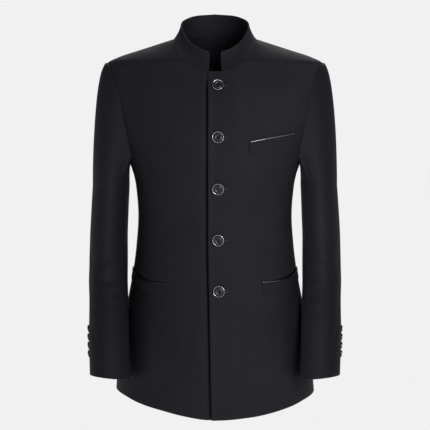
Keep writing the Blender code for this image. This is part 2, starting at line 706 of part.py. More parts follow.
front_left, arm_front, neck_left = front_piece("front_left", front_edge, True, "cloth_left", False)
underlap = smooth(UNDERLAP)
front_right, arm_front_right, neck_right = front_piece("front_right", underlap, False, "cloth_right", True)
back_left, arm_back, neck_rear = back_piece("back_left", "cloth_left", False)
back_right, arm_back_right, neck_rear_right = back_piece("back_right", "cloth_right", True)
side_left, arm_under = side_piece("side_left", "cloth_left", False)
side_right, arm_under_right = side_piece("side_right", "cloth_right", True)
left_sleeve = sleeve_pieces("left", arm_front, arm_under, arm_back, False)
right_sleeve = sleeve_pieces("right", arm_front_right, arm_under_right, arm_back_right, True)
collar_piece(neck_left, neck_right, neck_rear)

on_left, on_right = finder(front_left), finder(front_right)
breast = smooth(BREAST_POCKET)
breast_x = np.linspace(BREAST_POCKET[0][0], BREAST_POCKET[-1][0], 15)
breast_z = breast(breast_x)
welt_turn = turn_of(breast_x, breast_z - 0.5 * WELT_HEIGHT)
welt_piece("breast_welt", on_left, welt_turn, breast_z, "cloth_left", False)
piping_piece("breast_piping", on_left, welt_turn, breast_z, False)

mouth = smooth(SIDE_POCKET)
mouth_turn = np.linspace(SIDE_POCKET[0][0], SIDE_POCKET[-1][0], 21)
for side, meet, mirrored in (("left", on_left, False), ("right", on_right, True)):
    welt_piece("pocket_welt_" + side, meet, mouth_turn, mouth(mouth_turn), "cloth_" + side, mirrored)
    piping_piece("pocket_piping_" + side, meet, mouth_turn, mouth(mouth_turn), mirrored)

for k, z in enumerate(BUTTON_HEIGHTS):
    x = BUTTON_OFFSET - float(front_edge(z))
    seat, normal = seat_points(on_left, turn_of(x, z), z, False)
    button_piece("button_" + str(k + 1), seat, normal, BUTTON, BUTTON_STEPS)

for side, sleeve, mirrored in (("left", left_sleeve, False), ("right", right_sleeve, True)):
    meet = finder(sleeve["top"])
    for k, z in enumerate(CUFF_BUTTON_HEIGHTS):
        down = (BICEPS_Z - z) / (BICEPS_Z - CUFF_Z)
        turns = CUFF_BUTTON_ANGLE - SLEEVE_TWIST * down + np.array([-4.0, 0.0, 4.0])
        across = sleeve_ring(turns, np.full(3, z))
        below = sleeve_ring(turns[1], z - 4.0)
        normal = unit(np.cross(across[0] - across[2], below - across[1]))
        normal = normal * np.sign(normal[0])
        flip = np.array([-1.0 if mirrored else 1.0, 1.0, 1.0])
        seat = meet(across[1] * flip, normal * flip)
        name = "cuff_button_" + side + "_" + str(k + 1)
        button_piece(name, seat, normal * flip, CUFF_BUTTON, CUFF_BUTTON_STEPS)
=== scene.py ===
# %% [markdown]
# # A mandarin collar blazer, dressed
# This lesson takes the plain solids of a tailored blazer and gives them the look of
# cloth. The solids arrive in one fixed frame: +Z is up, the front faces -Y and the
# wearer's left is +X. Each cut piece is made again here as a fine shell of the same form.

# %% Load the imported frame
import json
import bpy
import numpy as np
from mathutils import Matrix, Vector

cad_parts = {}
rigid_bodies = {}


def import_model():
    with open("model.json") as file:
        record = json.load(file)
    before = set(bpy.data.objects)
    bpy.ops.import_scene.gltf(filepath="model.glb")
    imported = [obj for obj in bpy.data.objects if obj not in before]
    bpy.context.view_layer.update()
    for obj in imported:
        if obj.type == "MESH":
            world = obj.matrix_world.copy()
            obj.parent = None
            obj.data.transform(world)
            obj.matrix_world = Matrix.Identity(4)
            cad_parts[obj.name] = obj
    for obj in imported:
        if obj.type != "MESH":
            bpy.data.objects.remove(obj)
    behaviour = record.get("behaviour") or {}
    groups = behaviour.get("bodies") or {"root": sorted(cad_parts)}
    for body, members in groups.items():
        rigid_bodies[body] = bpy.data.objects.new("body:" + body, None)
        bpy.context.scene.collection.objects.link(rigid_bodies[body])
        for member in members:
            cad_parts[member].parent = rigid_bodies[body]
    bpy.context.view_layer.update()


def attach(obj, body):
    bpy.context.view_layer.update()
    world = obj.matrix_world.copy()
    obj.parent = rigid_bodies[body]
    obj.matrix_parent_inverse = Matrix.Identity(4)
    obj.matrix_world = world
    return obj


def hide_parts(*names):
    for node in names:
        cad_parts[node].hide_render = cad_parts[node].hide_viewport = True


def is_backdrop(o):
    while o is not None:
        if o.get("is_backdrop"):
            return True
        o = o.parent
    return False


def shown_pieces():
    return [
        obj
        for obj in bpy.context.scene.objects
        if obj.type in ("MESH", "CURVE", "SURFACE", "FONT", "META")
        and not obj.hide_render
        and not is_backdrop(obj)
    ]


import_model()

# %% [markdown]
# ## From a short table to a smooth curve
# A tailor's sizes are a short list: so wide here, so wide there. A curve through such
# a list must not overshoot, or a waist gets a bulge that nobody cut. A cubic whose slopes
# are the harmonic means of the slopes beside them never does, so it is used throughout.

# %% Smooth curves, easing and unit vectors
MM = 0.001
SIDES = (("left", 1.0), ("right", -1.0))


def curve_of(rows, column=1):
    """A cubic through one column of a table; its slope at a row is the harmonic mean of its neighbours'."""
    table = np.array(sorted(row[:1] + (row[column],) for row in rows), float)
    x, y = table[:, 0], table[:, 1]
    step = np.diff(x)
    slope = np.diff(y) / step
    before, after = slope[:-1], slope[1:]
    same = before * after > 0.0
    near, far = 2.0 * step[1:] + step[:-1], step[1:] + 2.0 * step[:-1]
    mean = (near + far) / (near / np.where(same, before, 1.0) + far / np.where(same, after, 1.0))
    tangent = np.concatenate([slope[:1], np.where(same, mean, 0.0), slope[-1:]])

    def value(at):
        at = np.clip(np.asarray(at, float), x[0], x[-1])
        k = np.clip(np.searchsorted(x, at, side="right") - 1, 0, len(step) - 1)
        h = step[k]
        u = (at - x[k]) / h
        start = (1.0 + 2.0 * u) * (1.0 - u) ** 2 * y[k] + u * (1.0 - u) ** 2 * h * tangent[k]
        return start + u * u * (3.0 - 2.0 * u) * y[k + 1] - u * u * (1.0 - u) * h * tangent[k + 1]

    return value


def ease(value, start, end):
    """3u squared less 2u cubed, where u runs from 0 at start to 1 at end."""
    u = np.clip((value - start) / (end - start), 0.0, 1.0)
    return u * u * (3.0 - 2.0 * u)


def unit(vectors):
    """Each vector divided by its length."""
    return vectors / np.maximum(np.linalg.norm(vectors, axis=-1, keepdims=True), 1e-9)


def run_of(points):
    """Length run up to each point of a row: the distances between neighbours, added up."""
    return np.concatenate([[0.0], np.cumsum(np.linalg.norm(np.diff(points, axis=0), axis=1))])


def near_ends(points, reach):
    """Nought at either end of a row of points, one at a reach in mm from it and beyond."""
    run = run_of(points)
    return np.clip(np.minimum(run, run[-1] - run) / reach, 0.0, 1.0)


PRESSED_EDGE = (0.0, 1.2, 2.6, 4.6, 7.0)
ROUND_END = (0.0, 0.12, 0.45, 1.0, 1.7, 3.0)


def spaced(length, step, fine_start=True, fine_end=True, edge=PRESSED_EDGE):
    """Shares from 0 to 1 along a length in mm, evenly apart, with closer ones by the fine ends."""
    edge = np.array(edge)
    low = edge if fine_start else np.array([0.0])
    high = (length - edge)[::-1] if fine_end else np.array([length])
    count = max(int(round((high[0] - low[-1]) / step)), 2)
    return np.concatenate([low, np.linspace(low[-1], high[0], count + 1)[1:-1], high]) / length


print("halfway from 184 down to 151 mm:", curve_of(((0, 184), (1, 151), (2, 173)))(0.5).round(1))

# %% [markdown]
# ## The sizes of the blazer
# The body is a stack of level sections. Each row gives a height, the half width, how far
# the front and the back stand out, where the middle lies, and how square the section is,
# with 2 for an ellipse. The waist is where the half width is least, at 153 mm.

# %% Body sections, armhole and seams, in millimetres
CLOTH = 2.0
COLLAR_CLOTH = 2.8
SEAM_GAP = 0.3
NECK_HALF_WIDTH, NECK_DROP, NECK_BACK_RISE = 82.0, 68.5, 11.0
SHOULDER_TIP = (213.0, -47.0)
FRONT_JUNCTION_Z, BACK_JUNCTION_Z = -232.0, -210.0
BODY = (
    (14, 38.6, -50, 69, 0, 1.80, 2.40),
    (0, 82, -55, 75, 0, 1.80, 2.30),
    (-20, 144, -66, 87, 0, 1.85, 2.15),
    (-36, 192, -79, 95, 0, 1.95, 2.05),
    (-47, 213, -87, 100, 0, 2.05, 2.10),
    (-58, 217, -90, 103.5, 0, 2.15, 2.15),
    (-80, 217, -99, 109, 0, 2.20, 2.20),
    (-100, 214, -108, 114, 0, 2.25, 2.25),
    (-130, 207, -119, 119, 0, 2.25, 2.25),
    (-165, 197, -129, 122, 0, 2.25, 2.25),
    (-200, 186, -136, 121.5, 0, 2.25, 2.25),
    (-232, 174.5, -138.5, 119, 0, 2.25, 2.25),
    (-250, 168, -139, 117, 0, 2.25, 2.25),
    (-270, 161.5, -138, 113.5, 0, 2.25, 2.25),
    (-290, 157.5, -136.5, 109.5, 0, 2.25, 2.25),
    (-350, 153, -130.5, 99, 0, 2.20, 2.20),
    (-410, 157, -129.5, 102, 1, 2.20, 2.20),
    (-456, 163, -130.5, 109.5, 5, 2.20, 2.25),
    (-506, 172.5, -133.5, 119.5, 14, 2.20, 2.25),
    (-560, 183.5, -137.5, 128, 19, 2.20, 2.25),
    (-620, 192, -141, 134.5, 23, 2.20, 2.25),
    (-690, 199, -144.5, 141, 25, 2.20, 2.25),
    (-740, 203, -147, 145.5, 25, 2.20, 2.25),
)
ARMHOLE = (
    (-47, 213, 213), (-60, 205.5, 206), (-75, 199, 200.5), (-90, 193.5, 196.5),
    (-110, 188, 192), (-130, 184, 188), (-150, 180, 184.5), (-170, 176, 180.5),
    (-190, 172, 175.5), (-210, 168, 170.5), (-232, 164, 165),
)
SIDE_SEAMS = (
    (-210, 67, 111), (-232, 67, 111), (-330, 79, 112), (-450, 87, 112), (-740, 88, 110),
)
UNDERARM = ((0, -232), (0.2, -243.5), (0.4, -249), (0.6, -247.5), (0.8, -236), (1, -210))
HEM = (
    (-25, -736.5), (0, -737), (15, -732), (30, -724), (45, -715), (62, -706),
    (80, -702), (100, -701), (130, -705), (160, -710), (180, -712),
)
FRONT_EDGE = ((-40, 13.4), (-400, 13), (-520, 10.8), (-740, 6.8))
UNDERLAP = ((-40, 9), (-68, 9), (-117, 26), (-740, 26))

half_width, front_y, back_y, middle_y = (curve_of(BODY, k) for k in (1, 2, 3, 4))
front_square, back_square = curve_of(BODY, 5), curve_of(BODY, 6)
armhole_front, armhole_back = curve_of(ARMHOLE, 1), curve_of(ARMHOLE, 2)
front_seam, back_seam = curve_of(SIDE_SEAMS, 1), curve_of(SIDE_SEAMS, 2)
underarm, level_hem, front_edge, underlap = (curve_of(t) for t in (UNDERARM, HEM, FRONT_EDGE, UNDERLAP))
HEM_DROP = 3.3


def hem(turn, hand=0.0):
    """Height of the hem; at the sides it hangs lower on the wearer's left and as much higher on the right."""
    at_side = ease(np.abs(turn), 0.0, 30.0) * (1.0 - ease(np.abs(turn), 110.0, 170.0))
    return level_hem(turn) - HEM_DROP * hand * at_side


print("narrowest half width of the body:", half_width(np.arange(-700, -250)).min().round(1), "mm")

# %% [markdown]
# ## Folds and creases
# Worn cloth hangs from the shoulders and is drawn in at the waist and elbow. Broad folds
# are in the solids already, and come again here. Finer creases are placed one by one: each is
# a soft trough along a short line, with low ridges beside it and an uneven depth, so that
# no two look alike. Simulation could drape this, but pressed wool keeps its tailored form.

# %% Rows of folds: start out and height, end out and height, spread, swell
BROAD_FRONT = (
    (150, -215, 92, -318, 20, -3),
    (128, -205, 70, -250, 26, 2),
    (128, -505, 150, -735, 24, 4),
    (78, -520, 96, -735, 22, -3),
    (30, -345, 118, -385, 16, -2),
)
BROAD_BACK = (
    (62, -250, 74, -640, 24, -4),
    (128, -480, 142, -710, 24, 4),
    (150, -130, 108, -260, 24, 4),
    (0, -352, 96, -338, 15, -3),
    (0, 5, 40, -40, 18, 1),
)
FINE_FRONT_LEFT = (
    (158, -226, 118, -258, 7, -1.3),
    (150, -250, 108, -292, 8, -1.1),
    (30, -296, 92, -312, 8, -0.7),
    (28, -392, 96, -374, 8, -0.8),
    (138, -338, 96, -352, 9, -0.9),
    (52, -560, 60, -728, 13, -1.1),
    (112, -540, 124, -722, 12, -1),
    (44, -112, 96, -128, 11, -0.5),
)
FINE_FRONT_RIGHT = (
    (160, -222, 122, -262, 7.5, -1.4),
    (152, -256, 104, -288, 8, -1),
    (24, -292, 88, -318, 9, -0.7),
    (26, -388, 102, -380, 8, -0.9),
    (140, -345, 92, -366, 9, -0.9),
    (46, -540, 66, -724, 14, -1.2),
    (106, -560, 118, -720, 12, -0.9),
    (48, -118, 104, -126, 11, -0.5),
)
FINE_BACK = (
    (12, -26, 84, -42, 9, -0.8),
    (152, -205, 112, -292, 10, -1.6),
    (160, -180, 138, -262, 8, -1.1),
    (10, -330, 104, -318, 9, -1.2),
    (6, -376, 112, -360, 9, -1.1),
    (24, -404, 96, -396, 8, -0.8),
    (40, -470, 52, -698, 14, -1.4),
    (100, -450, 112, -700, 13, -1.5),
)


def ridge_swell(folds, across, height):
    """Add up bells, each e to the minus of the distance off its line over its spread, squared."""
    total = np.zeros(np.broadcast(across, height).shape)
    for x0, z0, x1, z1, spread, swell in folds:
        along = ((across - x0) * (x1 - x0) + (height - z0) * (z1 - z0)) / ((x1 - x0) ** 2 + (z1 - z0) ** 2)
        held = np.clip(along, 0.0, 1.0)
        off = np.hypot(across - x0 - held * (x1 - x0), height - z0 - held * (z1 - z0))
        total = total + swell * np.exp(-((off / spread) ** 2)) * (0.35 + 0.65 * np.sin(np.pi * held) ** 2)
    return total


def creases(rows, across, height):
    """Add up troughs with ridges beside them: a bell times one less its squared distance, uneven along."""
    total = np.zeros(np.broadcast(across, height).shape)
    for k, (x0, z0, x1, z1, spread, depth) in enumerate(rows):
        dx, dz = x1 - x0, z1 - z0
        length = np.hypot(dx, dz)
        along = ((across - x0) * dx + (height - z0) * dz) / length ** 2
        held = np.clip(along, 0.0, 1.0)
        bend = 0.35 * spread * np.sin(5.0 * held + 1.7 * k)
        side = ((across - x0) * dz - (height - z0) * dx) / length - bend
        off2 = (side ** 2 + ((along - held) * length) ** 2) / spread ** 2
        uneven = np.sin(np.pi * (0.06 + 0.88 * held)) * (1.0 + 0.3 * np.sin(9.0 * held + 2.3 * k))
        total = total + depth * (1.0 - 0.75 * off2) * np.exp(-off2) * uneven
    return total


def undulation(across, height, phase):
    """Up to half a millimetre of waviness: the sum of two products of slow sines."""
    first = np.sin(across / 29.0 + 1.4 * np.sin(height / 71.0 + phase)) * np.sin(height / 53.0 + phase)
    second = np.sin(across / 61.0 + phase) * np.sin(height / 97.0 + 1.3 * np.sin(across / 83.0))
    return 0.22 * first + 0.3 * second


print("folds in the front:", len(BROAD_FRONT), "broad and", len(FINE_FRONT_LEFT), "fine")

# %% [markdown]
# ## The surface of the body
# A point of the body is found by how far round it is, in degrees from the centre front, and
# by its height. A section is a superellipse: the half width times the sine to a power, and
# the depth times the cosine to the same power. The way out of the cloth, its normal, is the
# steepest direction of that section's level function.

# %% Points and normals of the body


def turn_of(x, z, back=False):
    """Degrees round at which a section reaches x: the arcsine of its share of the half width, to a power."""
    power = back_square(z) if back else front_square(z)
    share = np.clip(np.abs(x) / half_width(z), 0.0, 1.0)
    turn = np.degrees(np.arcsin(share ** (power / 2.0)))
    return np.sign(x) * (180.0 - turn) if back else np.sign(x) * turn


def body_level(x, y, z):
    """One on the surface: the root of the sum of the two reaches, each as a share and to the power."""
    behind = y > middle_y(z)
    power = np.where(behind, back_square(z), front_square(z))
    reach = np.where(behind, back_y(z) - middle_y(z), front_y(z) - middle_y(z))
    return (np.abs(x / half_width(z)) ** power + np.abs((y - middle_y(z)) / reach) ** power) ** (1.0 / power)


def body(turn, z, hand=1.0):
    """Point and normal at a turn in degrees and a height; hand is 1 on the wearer's left, -1 on the right."""
    turn, z = np.broadcast_arrays(np.asarray(turn, float), np.asarray(z, float))
    angle = np.radians(turn)
    rear = np.cos(angle) < 0.0
    power = np.where(rear, back_square(z), front_square(z))
    sine, cosine = np.sin(angle), np.cos(angle)
    x = half_width(z) * np.sign(sine) * np.abs(sine) ** (2.0 / power)
    depth = np.where(rear, back_y(z) - middle_y(z), front_y(z) - middle_y(z))
    y = middle_y(z) + depth * np.abs(cosine) ** (2.0 / power)
    e = 0.5
    normal = unit(np.stack([
        body_level(x + e, y, z) - body_level(x - e, y, z),
        body_level(x, y + e, z) - body_level(x, y - e, z),
        body_level(x, y, z + e) - body_level(x, y, z - e),
    ], -1))
    out = np.abs(x)
    behind = ease(y, -25.0, 25.0)
    fine = FINE_FRONT_LEFT if hand > 0.0 else FINE_FRONT_RIGHT
    quiet = ease(half_width(z) - out, 0.5, 22.0) * ease(-z, 60.0, 120.0)
    front_swell = ridge_swell(BROAD_FRONT, out, z) + creases(fine, x, z)
    back_swell = ridge_swell(BROAD_BACK, out, z) + creases(FINE_BACK, out, z + 6.0 * hand)
    swell = ((1.0 - behind) * front_swell + behind * back_swell) * quiet
    swell = swell + undulation(x + 200.0 * behind, z, 1.1 * hand) * ease(half_width(z) - out, 0.5, 40.0)
    return np.stack([x, y, z], -1) + normal * swell[..., None], normal


LAP_LIFT, LAP_START, LAP_END = 2.6, 38.0, 68.0
STITCH_IN = 8.0


def lap_lift(x):
    """How far the upper front stands off the lower one: the lift, easing to nothing from start to end."""
    return LAP_LIFT * (1.0 - ease(x, LAP_START, LAP_END))


def edge_dip(distance, spread=1.6, depth=0.35):
    """A shallow groove where an edge was pressed or stitched through: a bell across its line."""
    return -depth * np.exp(-((distance / spread) ** 2))


def front_face(turn, z, hand):
    """Outer face of a finished front: the body, plus lap, edge curl and stitched line on the upper one."""
    outer, normal = body(turn, z, hand)
    x = outer[..., 0]
    if hand > 0.0:
        from_edge = x + front_edge(z)
        curl = 1.5 * (1.0 - ease(from_edge, 0.0, 15.0)) * ease(-z, 66.0, 100.0)
        rise = lap_lift(x) + curl + edge_dip(from_edge - STITCH_IN)
    else:
        from_lap = x - front_edge(z)
        recess = edge_dip(from_lap - 1.0, 7.0, 3.0) + edge_dip(from_lap - 0.6, 2.4, 3.0)
        rise = recess * ease(-z, 70.0, 105.0)
    return outer + normal * rise[..., None], normal


point, normal = body(0.0, -300.0)
print("centre front at the third button:", point.round(1), "mm")

# %% [markdown]
# ## Walls of cloth with rolled edges
# A cut edge in a garment is folded in and pressed, so it shows as a small round roll. Each
# piece is a grid of outer points and a grid of inner points, joined by a rim that bends
# through a half circle. The Solidify modifier could give the thickness, but its normals at
# a border lean, and two pieces that meet at a seam would cross.

# %% Build a closed wall from a grid


def grid_quads(rows, columns):
    """Corner numbers of the squares of a grid: a point, the next, and the two above them."""
    a = (np.arange(rows - 1)[:, None] * columns + np.arange(columns - 1)).ravel()
    return np.stack([a, a + 1, a + columns + 1, a + columns], -1)


def border_of(rows, columns):
    """Numbers of the border points of a grid, once round."""
    bottom = np.arange(columns)
    right = np.arange(1, rows) * columns + columns - 1
    top = (rows - 1) * columns + np.arange(columns - 2, -1, -1)
    left = np.arange(rows - 2, 0, -1) * columns
    return np.concatenate([bottom, right, top, left])


def flipped(faces):
    """The same faces of four (or three, with -1) corners, facing the other way."""
    return np.where(faces[:, 3:] < 0, faces[:, [2, 1, 0, 3]], faces[:, ::-1])


def put_mesh(name, points, faces, material, uv=None, hand=1.0, marks=None):
    """Put points in millimetres and faces of four (or three, with -1) corners into a new object."""
    points = np.asarray(points, float).reshape(-1, 3) * (hand, 1.0, 1.0) * MM
    faces = flipped(np.asarray(faces)) if hand < 0.0 else np.asarray(faces)
    sizes = np.where(faces[:, 3] < 0, 3, 4)
    corners = faces[faces >= 0]
    mesh = bpy.data.meshes.new(name)
    mesh.vertices.add(len(points))
    mesh.vertices.foreach_set("co", points.ravel())
    mesh.loops.add(len(corners))
    mesh.loops.foreach_set("vertex_index", corners)
    mesh.polygons.add(len(faces))
    mesh.polygons.foreach_set("loop_start", np.concatenate([[0], np.cumsum(sizes)[:-1]]))
    if uv is not None:
        layer = mesh.uv_layers.new(name="cut")
        layer.data.foreach_set("uv", np.asarray(uv, float).reshape(-1, 2)[corners].ravel())
    for each in material:
        mesh.materials.append(each)
    if marks is not None:
        mesh.polygons.foreach_set("material_index", np.asarray(marks, np.int32))
    mesh.update(calc_edges=True)
    mesh.validate()
    mesh.shade_smooth()
    obj = bpy.data.objects.new(name, mesh)
    bpy.context.scene.collection.objects.link(obj)
    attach(obj, "root")
    return obj


def cut_map(outer, hem_row):
    """Place of each point on the flat cut in metres: run lengths along its row and up its column."""
    across = np.linalg.norm(np.diff(outer, axis=1), axis=2)
    u = np.concatenate([np.zeros((outer.shape[0], 1)), np.cumsum(across, axis=1)], axis=1)
    up = np.linalg.norm(np.diff(outer, axis=0), axis=2)
    v = np.concatenate([np.zeros((1, outer.shape[1])), np.cumsum(up, axis=0)], axis=0)
    return np.stack([u, v + hem_row], -1) * MM


def near_edge(points, border):
    """One at a border, falling to nothing at 8 mm off it: one less the distance over 8, not below nought."""
    return np.clip(1.0 - np.linalg.norm(points - border, axis=2, keepdims=True) / 8.0, 0.0, 1.0)


def wall(name, outer, normal, thick, material, hand=1.0):
    """Close a grid into a wall: its border steps in by half the thickness, and a half circle closes it."""
    rows, columns = outer.shape[:2]
    uv = cut_map(outer, outer[:1, :, 2] - outer[:, :, 2].min()) * (hand, 1.0)
    radius = 0.5 * thick
    up, side = unit(np.gradient(outer, axis=0)), unit(np.gradient(outer, axis=1))
    moves = up * (near_edge(outer, outer[:1]) - near_edge(outer, outer[-1:])) * radius
    moves = moves + side * (near_edge(outer, outer[:, :1]) - near_edge(outer, outer[:, -1:])) * radius
    outer = outer + moves
    inner = outer - normal * thick
    rim = border_of(rows, columns)
    far = outer.reshape(-1, 3)[rim]
    near = inner.reshape(-1, 3)[rim]
    back_out = -moves.reshape(-1, 3)[rim]
    middle, half = 0.5 * (far + near), 0.5 * (far - near)
    turns = np.radians([45.0, 90.0, 135.0])[:, None, None]
    rings = middle + np.cos(turns) * half + np.sin(turns) * back_out
    count = rows * columns
    length = len(rim)
    chain = [rim] + [2 * count + k * length + np.arange(length) for k in range(3)] + [rim + count]
    squares = grid_quads(rows, columns)
    quads = [squares, squares[:, ::-1] + count]
    for low, high in zip(chain[:-1], chain[1:]):
        quads.append(np.stack([np.roll(low, -1), low, high, np.roll(high, -1)], -1))
    points = np.concatenate([outer.reshape(-1, 3), inner.reshape(-1, 3), rings.reshape(-1, 3)])
    flat = uv.reshape(-1, 2)
    cut = np.concatenate([flat, flat, flat[rim], flat[rim], flat[rim]])
    obj = put_mesh(name, points, np.concatenate(quads), [material], cut, hand)
    p = outer.reshape(-1, 3)[squares]
    area = 0.5 * np.linalg.norm(np.cross(p[:, 2] - p[:, 0], p[:, 3] - p[:, 1]), axis=1).sum() * 1e-6
    wide = np.linalg.norm(np.diff(outer, axis=1), axis=2).sum(1)[: int(0.65 * rows)].max() * MM
    tall = np.linalg.norm(np.diff(outer, axis=0), axis=2).sum(0).max() * MM
    print(f"{name}: {len(obj.data.polygons)} faces, cut {wide:.3f} by {tall:.3f} m, {area:.4f} m2")
    return obj


def grid_normals(points, around=False):
    """The cross product of the differences along the rows and up the columns, made one long."""
    side = np.roll(points, -1, axis=1) - np.roll(points, 1, axis=1) if around else np.gradient(points, axis=1)
    return unit(np.cross(side, np.gradient(points, axis=0)))


print("a 3 by 4 grid has", len(grid_quads(3, 4)), "squares and", len(border_of(3, 4)), "border points")

# %% [markdown]
# ## Colours and the small node helper
# Colours are written as the hex values a painter would pick from a screen. Shading works
# in linear light, so one function converts them. A few small ones add a node, set it and
# link it, or make a sum, a noise or a ramp, which keeps each material down to a few lines.

# %% Colour and node helpers


def colour(hex_value):
    """Linear red, green, blue and one: each sRGB share, offset, scaled and raised to the power 2.4."""
    shares = np.array([int(hex_value[k:k + 2], 16) for k in (1, 3, 5)]) / 255.0
    linear = np.where(shares <= 0.04045, shares / 12.92, ((shares + 0.055) / 1.055) ** 2.4)
    return (*linear.tolist(), 1.0)


def plug(node, inputs):
    """Set each named input of a node, or link it if the value is a socket."""
    for key, value in inputs.items():
        if isinstance(value, bpy.types.NodeSocket):
            node.id_data.links.new(value, node.inputs[key])
        else:
            node.inputs[key].default_value = value


def add(tree, kind, settings=None, inputs=None):
    """Add a node, set its own settings, then set or link its inputs."""
    node = tree.nodes.new(kind)
    for key, value in (settings or {}).items():
        setattr(node, key, value)
    plug(node, inputs or {})
    return node


def sum_of(tree, operation, *values):
    """One arithmetic node on its values in turn; gives its result."""
    return add(tree, "ShaderNodeMath", {"operation": operation}, dict(enumerate(values))).outputs[0]


def noise(tree, place, scale, detail=2.0, **more):
    """Cloudy noise at a place; gives its share from 0 to 1."""
    inputs = dict(more, Vector=place, Scale=scale, Detail=detail)
    return add(tree, "ShaderNodeTexNoise", None, inputs).outputs["Fac"]


def between(tree, value, low, high, start=0.0, end=1.0):
    """A line from low to high as the value goes from start to end, level beyond; gives its result."""
    inputs = {"Value": value, "From Min": start, "From Max": end, "To Min": low, "To Max": high}
    return add(tree, "ShaderNodeMapRange", None, inputs).outputs["Result"]


def two_tone(tree, share, dark, light, start=0.0, end=1.0):
    """A ramp from a dark to a light colour as the share goes from start to end; gives its colour."""
    ramp = add(tree, "ShaderNodeValToRGB", None, {"Fac": share})
    for stop, position, tone in zip(ramp.color_ramp.elements, (start, end), (dark, light)):
        stop.position = position
        stop.color = colour(tone)
    return ramp.outputs["Color"]


def start_material(name, preview):
    """A material with an empty tree but for a Principled shader and its output."""
    material = bpy.data.materials.new(name)
    material.use_nodes = True
    material.diffuse_color = colour(preview)
    tree = material.node_tree
    tree.nodes.clear()
    shader = add(tree, "ShaderNodeBsdfPrincipled")
    add(tree, "ShaderNodeOutputMaterial", inputs={"Surface": shader.outputs["BSDF"]})
    return material, tree, shader


def mottled(name, preview, dark, light, scale, detail, values, place="Object", **more):
    """A finish whose colour drifts between two tones in noise of one scale."""
    material, tree, shader = start_material(name, preview)
    grain = noise(tree, add(tree, "ShaderNodeTexCoord").outputs[place], scale, detail, **more)
    plug(shader, dict(values, **{"Base Color": two_tone(tree, grain, dark, light)}))
    return material


print("charcoal #26252a in linear light:", [round(c, 4) for c in colour("#26252a")])

# %% [markdown]
# ## Worsted wool, charcoal black
# The cloth is a fine worsted twill: smooth combed yarn, dyed nearly black with a trace of
# violet, pressed flat. It reflects little, with a faint bloom where it turns away from the
# eye, which is what Sheen is for. Real twill lines lie 0.4 mm apart, too fine to see here,
# so they are drawn 1.1 mm apart along the edges of the cut, and very shallow.

# %% Worsted cloth
TWILL_PITCH = 1.1 * MM
THREAD_PITCH = 0.75 * MM


def worsted(name, base, light, sheen):
    """Twill: the sine of the two cut directions added, over the pitch, with yarn noise over it."""
    material, tree, shader = start_material(name, base)
    cut = add(tree, "ShaderNodeTexCoord").outputs["UV"]
    both = add(tree, "ShaderNodeVectorMath", {"operation": "DOT_PRODUCT"}, {0: cut, 1: (1.0, 1.0, 0.0)})
    lines = sum_of(tree, "SINE", sum_of(tree, "MULTIPLY", both.outputs["Value"], 2.0 * np.pi / TWILL_PITCH))
    slub_map = add(tree, "ShaderNodeMapping", None, {"Vector": cut, "Scale": (1.0, 0.12, 1.0)})
    slub = sum_of(tree, "MULTIPLY_ADD", noise(tree, slub_map.outputs[0], 420.0, 3.0), 0.55, 0.0)
    worn = sum_of(tree, "MULTIPLY_ADD", noise(tree, cut, 9.0, 3.0, Roughness=0.6), 0.45, slub)
    ribbed = sum_of(tree, "MULTIPLY_ADD", lines, 0.07, worn)
    relief = sum_of(tree, "MULTIPLY_ADD", lines, 0.35, noise(tree, cut, 1.0 / THREAD_PITCH))
    bump = add(tree, "ShaderNodeBump", None, {"Strength": 0.5, "Distance": 0.15 * MM, "Height": relief})
    plug(shader, {
        "Base Color": two_tone(tree, ribbed, base, light, 0.35, 0.68), "Normal": bump.outputs["Normal"],
        "Roughness": 0.72, "Specular IOR Level": 0.17,
        "Sheen Weight": sheen, "Sheen Roughness": 0.38, "Sheen Tint": colour("#a9a8c0"),
    })
    return material


wool = worsted("worsted_wool_charcoal", "#131218", "#1a1920", 0.015)
print("made", wool.name, "with", len(wool.node_tree.nodes), "nodes")

# %% [markdown]
# ## Satin, resin, plated metal and thread
# The pocket mouths are edged in satin piping: the same black, but floated threads that catch
# the light in a narrow line. The buttons are a dark moulded resin in a plated metal rim. The
# stitching is matt polyester, about as dark as the cloth.

# %% Satin piping


SATIN_BLACK = "#15151a"
SHADE_FADE = 0.035


def satin_cord(name, shine_from, shine_to, shade_after):
    """Floats drawn long along the cord; the shine and coat fall from one level to another past a run in
    metres and the roughness rises, painted shade where the cord lies under the mouth's lip.
    """
    material, tree, shader = start_material(name, SATIN_BLACK)
    cut = add(tree, "ShaderNodeTexCoord").outputs["UV"]
    stretch = add(tree, "ShaderNodeMapping", None, {"Vector": cut, "Scale": (0.2, 1.0, 1.0)})
    floats = noise(tree, stretch.outputs[0], 2600.0)
    bump = add(tree, "ShaderNodeBump", None, {"Strength": 0.25, "Distance": 0.05 * MM, "Height": floats})
    run = add(tree, "ShaderNodeSeparateXYZ", None, {"Vector": cut}).outputs["X"]
    shine = between(tree, run, shine_from, shine_to, shade_after, shade_after + SHADE_FADE)
    rough = between(tree, run, 0.14, 0.5, shade_after, shade_after + SHADE_FADE)
    plug(shader, {
        "Base Color": colour(SATIN_BLACK), "Normal": bump.outputs["Normal"],
        "Specular IOR Level": shine, "Specular Tint": colour("#f4f4ff"),
        "Coat Weight": shine, "Coat Roughness": 0.26, "Coat IOR": 1.8,
        "Roughness": sum_of(tree, "MULTIPLY_ADD", floats, 0.14, rough),
    })
    return material


satin = satin_cord("satin_piping_black", 1.0, 0.6, 0.05)
# Hip pipings: the shine fades towards the outer end, painted shade under the gaping lip; the wearer's right
# one is a dimmer copy, painted shade for its less lit side.
shaded_satin = {
    "left": satin_cord("satin_piping_folded_left", 1.0, 0.08, 0.028),
    "right": satin_cord("satin_piping_folded_right", 0.3, 0.06, 0.028),
}
print("made", satin.name, "and", [each.name for each in shaded_satin.values()])

